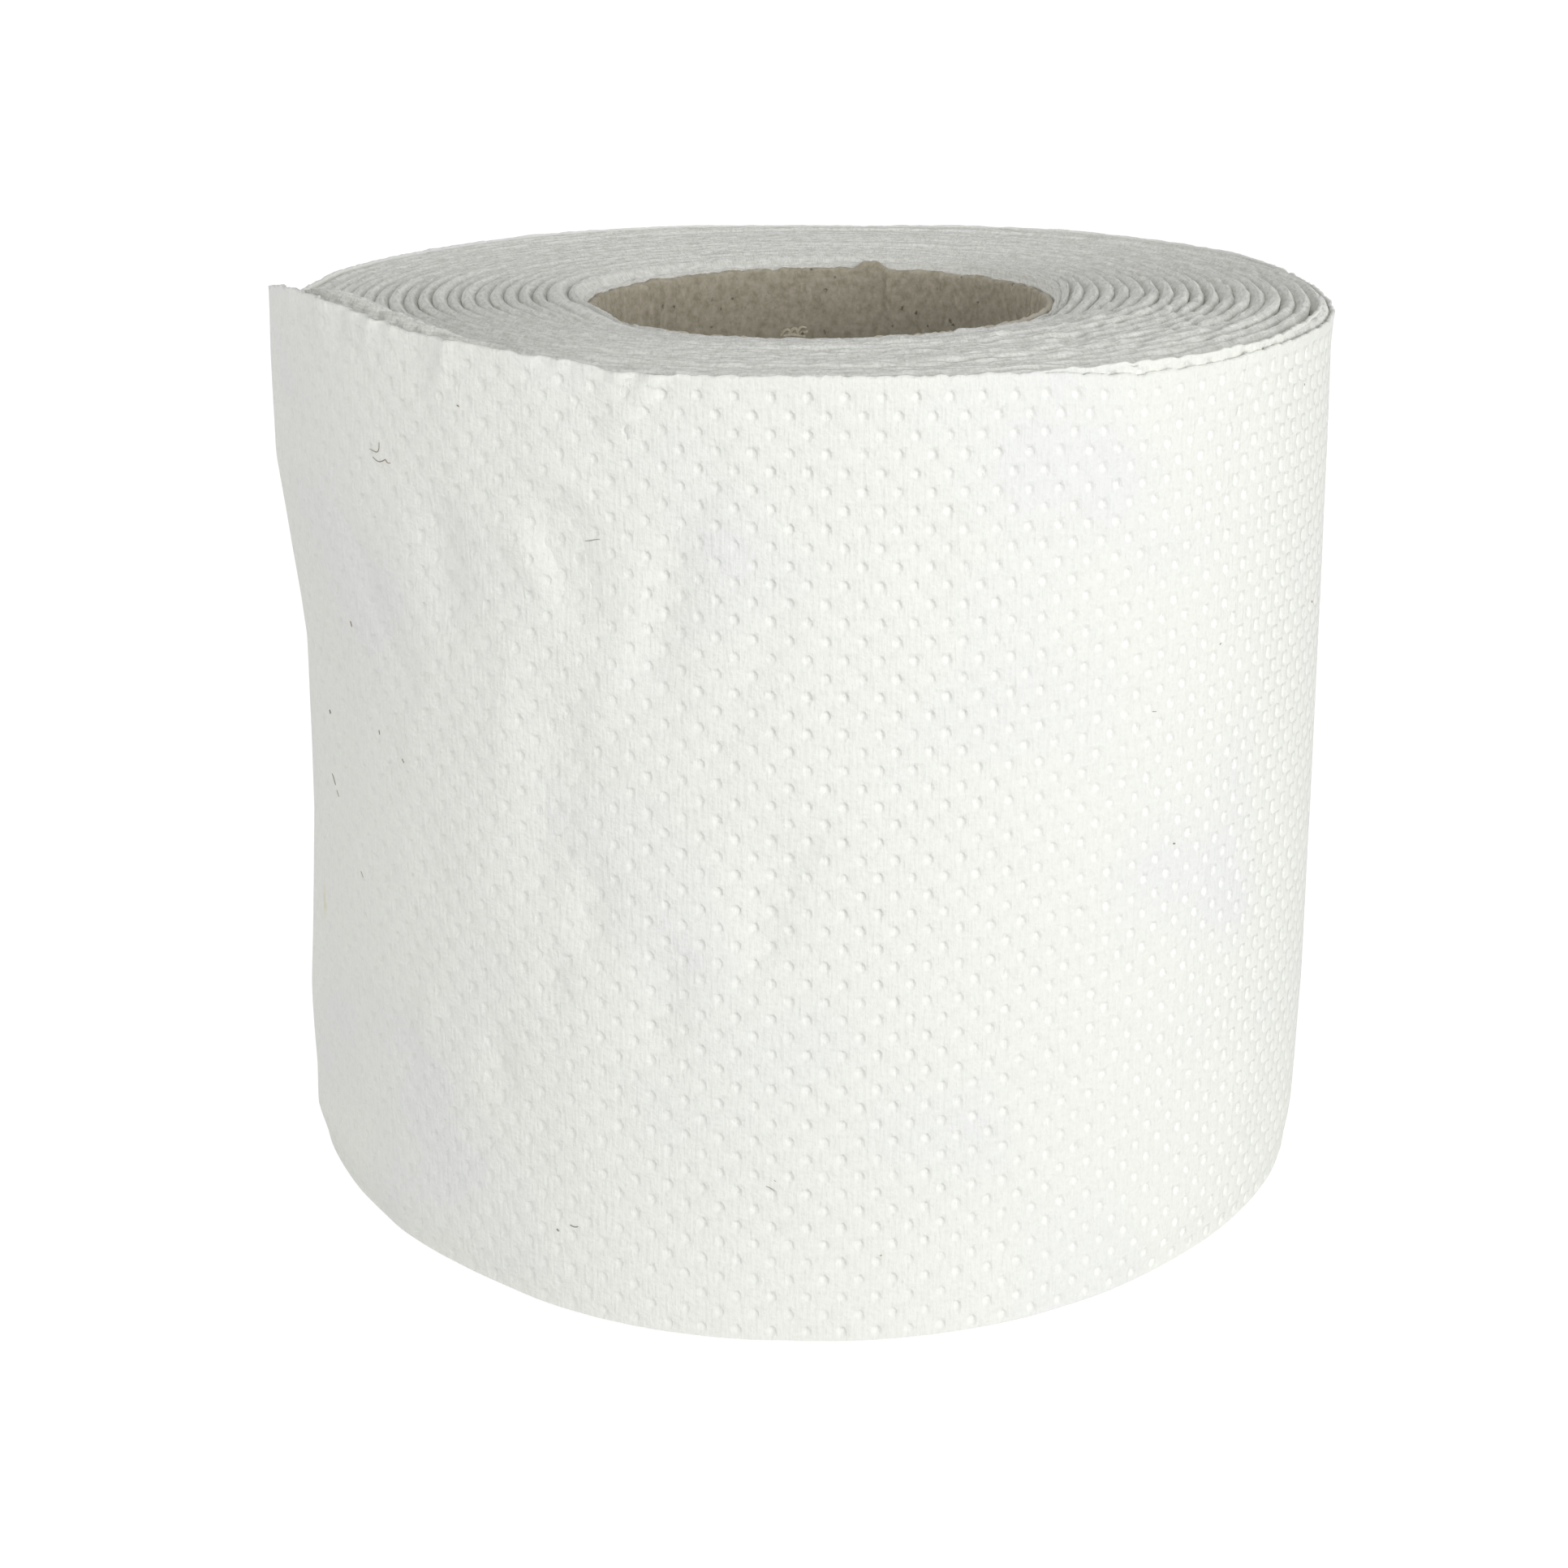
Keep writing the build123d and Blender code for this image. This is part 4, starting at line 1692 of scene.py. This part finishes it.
@dataclass
class CoreTube:
    """The tube of greyboard: cut across with a rough rim, with a lifted flap and creases inside."""

    board: bpy.types.Material
    steps: int = 720
    outside_heights: tuple = (0.25, 30, 60, 90)
    foot_bevel: tuple = (0.8, 0.2)
    rim_waves: tuple = (Ripple(0.12, 3.1), Ripple(0.08, 1.1, lane=9))
    rim_rows: tuple = (
        (0.0, 0.3, Ripple(0.0, 1)), (0.15, 0.05, Ripple(0.05, 0.9, lane=3)),
        (0.5, 0.0, Ripple(0.08, 0.8, lane=17)), (0.8, 0.12, Ripple(0.06, 0.9, lane=23)))
    rim_fade: float = 1.5
    upper_drops: tuple = (0.4, 24, 0.6)
    lower_drops: tuple = (26, 93.1, 16)
    flap_azimuth: float = 76.0
    flap_width: float = 3.7
    flap_height: float = 0.9
    wall_waves: tuple = (Ripple(0.06, 7, 5), Ripple(0.03, 2, 1.6))
    creases: tuple = (Creases((70.5,), 0.5, 6, 3), Creases((149, 145, 140, 134), 0.6, 9, 6))
    cut_paleness: float = 0.1
    front_paleness: float = 0.55
    front_range: tuple = (-128, 4, 12)
    torn_inset: float = 0.6
    torn: tuple = (
        Fibre(-94, 93.5, 0.16, ((-1.2, 0.0), (-1.0, 0.5), (-0.5, 0.8), (-0.2, 0.5), (0.0, 0.1))),
        Fibre(-94, 93.5, 0.2, ((-0.7, 0.0), (-0.2, 0.6), (0.2, 0.9), (0.5, 0.6), (0.4, 0.1))),
        Fibre(-94, 93.5, 0.14, ((0.1, 0.0), (0.5, 0.7), (0.9, 1.1), (1.3, 0.9))),
        Fibre(-94, 93.5, 0.18, ((0.6, 0.0), (0.8, 0.6), (1.1, 0.4), (1.4, 0.6))),
        Fibre(-94, 93.5, 0.22, ((-1.0, 0.1), (-0.3, 0.3), (0.4, 0.2), (1.2, 0.1))),
        Fibre(-14, 92.6, 0.18, ((-0.6, 0.0), (0.0, 0.5), (0.5, 0.3))),
        Fibre(-20, 92.7, 0.12, ((-0.5, 0.2), (0.3, 0.4), (0.6, 0.2))))
    noise: SmoothNoise = field(default_factory=lambda: SmoothNoise(12))

    def torn_bits(self) -> bpy.types.Object:
        """Makes the bits of board that the blade left standing on the rim."""
        rim = WallShape(radius=CORE_RADIUS - self.torn_inset, step=0.0, thickness=0.0, dents=())
        return PaperFibres(rim, self.board, "torn_board", fibres=self.torn).build()

    def section(self, azimuth: Array) -> list[tuple]:
        """Goes round the wall's section: up outside, over the cut rim, down inside and under the foot.

        Args:
            azimuth: The azimuths of a ring's points.

        Returns:
            The radius and the height of each ring.
        """
        rim = CORE_TOP + self.noise.layered(self.rim_waves, azimuth)
        rim = rim + self.flap_height * np.exp(-((azimuth - self.flap_azimuth) / self.flap_width) ** 4)
        rows = [(CORE_RADIUS, z) for z in self.outside_heights]
        rows += [(CORE_RADIUS - inset, rim - drop + self.noise.layered((waves,), azimuth))
                 for inset, drop, waves in self.rim_rows]
        for drop in np.concatenate([np.arange(*self.upper_drops), np.linspace(*self.lower_drops)]):
            z = CORE_TOP - drop + (rim - CORE_TOP) * math.exp(-drop / self.rim_fade)
            radius = CORE_RADIUS - CORE_WALL + self.noise.layered(self.wall_waves, azimuth, z)
            rows.append((radius - sum(crease.at(azimuth, drop) for crease in self.creases), z))
        return rows + [(CORE_RADIUS - inset, 0.0) for inset in self.foot_bevel]

    def build(self) -> bpy.types.Object:
        """Makes the tube, paler on its cut rim and most of all at the front.

        Returns:
            The tube.
        """
        azimuth = np.linspace(-180, 180, self.steps, endpoint=False)
        points, faces = lathed(self.section(azimuth), azimuth, CORE_OFFSET)
        cut = np.zeros((len(points) // self.steps, self.steps))
        first = len(self.outside_heights) + 1
        cut[first:first + 2] = self.cut_paleness + self.front_paleness * window(azimuth, *self.front_range)
        return mesh_object("cardboard_core", points, faces, self.board, paleness=cut.ravel())


@dataclass(frozen=True)
class Lamp:
    """A soft square lamp that faces the roll: its place, its distance and side in metres, its watts."""

    name: str
    azimuth: float
    elevation: float
    distance: float
    size: float
    power: float
    aim: tuple = (0, 0, 0.05)

    def build(self) -> None:
        """Adds the lamp."""
        light = bpy.data.lights.new(self.name, "AREA")
        light.size = self.size
        light.energy = self.power
        lamp = bpy.data.objects.new(self.name, light)
        turn, rise = math.radians(self.azimuth), math.radians(self.elevation)
        away = Vector((math.cos(turn) * math.cos(rise), math.sin(turn) * math.cos(rise), math.sin(rise)))
        lamp.location = Vector(self.aim) + self.distance * away
        lamp.rotation_euler = away.to_track_quat("Z", "Y").to_euler()
        bpy.context.scene.collection.objects.link(lamp)


@dataclass
class Studio:
    """The floor, the lamps, the plain surroundings and the camera, in metres and radians."""

    floor_size: float = 16.0
    floor_level: float = -0.0002
    white: tuple = (1, 1, 1, 1)
    card: str = "#E6E6E6"
    card_shade: tuple = (0.2, 0.2, 0.2, 1)
    card_shown: float = 0.94
    air: str = "#F5F5F5"
    horizon: float = 1.4
    overhead: float = 0.46
    overhead_rise: float = 0.62
    lamps: tuple = (Lamp("key", -55, 12, 0.8, 0.4, 2.65), Lamp("fill", -165, 12, 0.8, 0.4, 0.8))
    camera_place: tuple = (-CORE_OFFSET * MM, -0.26546, 0.1336)
    camera_turn: tuple = (-0.0125, 0.3444, 0.0098)
    lens: float = 56.49

    def build(self) -> None:
        """Sets up everything round the roll."""
        self.floor()
        self.world()
        for lamp in self.lamps:
            lamp.build()
        self.camera()

    def floor(self) -> None:
        """Lays a pale floor that shows white to the camera and keeps a faint shadow."""
        half, z = self.floor_size / 2, self.floor_level
        mesh = bpy.data.meshes.new("studio_floor")
        mesh.from_pydata([(-half, -half, z), (half, -half, z), (half, half, z), (-half, half, z)], [],
                         [(0, 1, 2, 3)])
        floor = bpy.data.objects.new("studio_floor", mesh)
        bpy.context.scene.collection.objects.link(floor)
        material = bpy.data.materials.new("white_card_floor")
        add = empty_tree(material)
        card = add("ShaderNodeBsdfDiffuse", {"Color": linear(self.card)})
        shade = add("ShaderNodeBsdfDiffuse", {"Color": self.card_shade})
        white = add("ShaderNodeEmission", {"Color": self.white, "Strength": self.card_shown})
        seen = add("ShaderNodeAddShader", {0: shade, 1: white})
        path = add("ShaderNodeLightPath")
        either = add("ShaderNodeMixShader", {0: path.outputs["Is Camera Ray"], 1: card, 2: seen})
        add("ShaderNodeOutputMaterial", {"Surface": either})
        mesh.materials.append(material)

    def world(self) -> None:
        """Gives plain surroundings, brighter low down, that are white to the camera and in reflections."""
        world = bpy.data.worlds.new("studio_world")
        add = empty_tree(world)
        direction = add("ShaderNodeTexCoord").outputs["Generated"]
        height = add("ShaderNodeSeparateXYZ", {0: direction}).outputs["Z"]
        level = add("ShaderNodeMapRange", {
            "Value": height, "From Max": self.overhead_rise, "To Min": self.horizon,
            "To Max": self.overhead})
        light = add("ShaderNodeBackground", {"Color": linear(self.air), "Strength": level})
        white = add("ShaderNodeBackground", {"Color": self.white, "Strength": 1.0})
        path = add("ShaderNodeLightPath").outputs
        seen = path["Is Camera Ray"]
        for kind in ("Is Glossy Ray", "Is Transmission Ray"):
            seen = add("ShaderNodeMath", {0: seen, 1: path[kind]}, operation="MAXIMUM").outputs[0]
        both = add("ShaderNodeMixShader", {0: seen, 1: light, 2: white})
        add("ShaderNodeOutputWorld", {"Surface": both})
        bpy.context.scene.world = world

    def camera(self) -> None:
        """Puts the camera where the photograph was taken from."""
        yaw, pitch, roll = self.camera_turn
        ahead, level = Vector((math.sin(yaw), math.cos(yaw), 0)), Vector((math.cos(yaw), -math.sin(yaw), 0))
        forward = math.cos(pitch) * ahead - math.sin(pitch) * Vector((0, 0, 1))
        down = forward.cross(level)
        right = math.cos(roll) * level + math.sin(roll) * down
        up = math.sin(roll) * level - math.cos(roll) * down
        data = bpy.data.cameras.new("camera")
        data.sensor_width = 36.0
        data.lens = self.lens
        data.clip_start = 0.01
        camera = bpy.data.objects.new("camera", data)
        turned = Matrix((right, up, -forward)).transposed().to_4x4()
        camera.matrix_world = Matrix.Translation(self.camera_place) @ turned
        bpy.context.scene.collection.objects.link(camera)
        bpy.context.scene.camera = camera


def hand_in(piece: bpy.types.Object, node: str) -> None:
    """Rides a piece on the roll and hides the CAD node that it stands for.

    Args:
        piece: The finished piece.
        node: The CAD node that it replaces.
    """
    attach(piece, "root")
    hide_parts(node)
    log.info("%s: %d triangles", piece.name, len(piece.data.polygons))


def main() -> None:
    """Builds the roll and the studio round it."""
    logging.basicConfig(level=logging.INFO, format="%(name)s %(message)s")
    bpy.context.scene.view_settings.view_transform = "Standard"
    paper, edges, board, fibre = (
        finish.build() for finish in (CrepedTissue(), StackedTissue(), GreyBoard(), StrayFibre()))
    shape = WallShape()
    core = CoreTube(board)
    for piece in (
            *OuterSheet(shape, EmbossedSheet(), paper).build(), *WoundTurns(shape, paper, edges).build(),
            # The raised turn edge is given the slit edges' finish, whose grey base is painted shade on that
            # band of paper
            InnerTurnEdge(shape, paper).build(), RaisedTurnEdge(shape, edges).build(),
            PaperFibres(shape, fibre).build()):
        hand_in(piece, "tissue_web")
    for piece in (core.build(), core.torn_bits()):
        hand_in(piece, "core_tube")
    Studio().build()


if __name__ == "__main__":
    main()
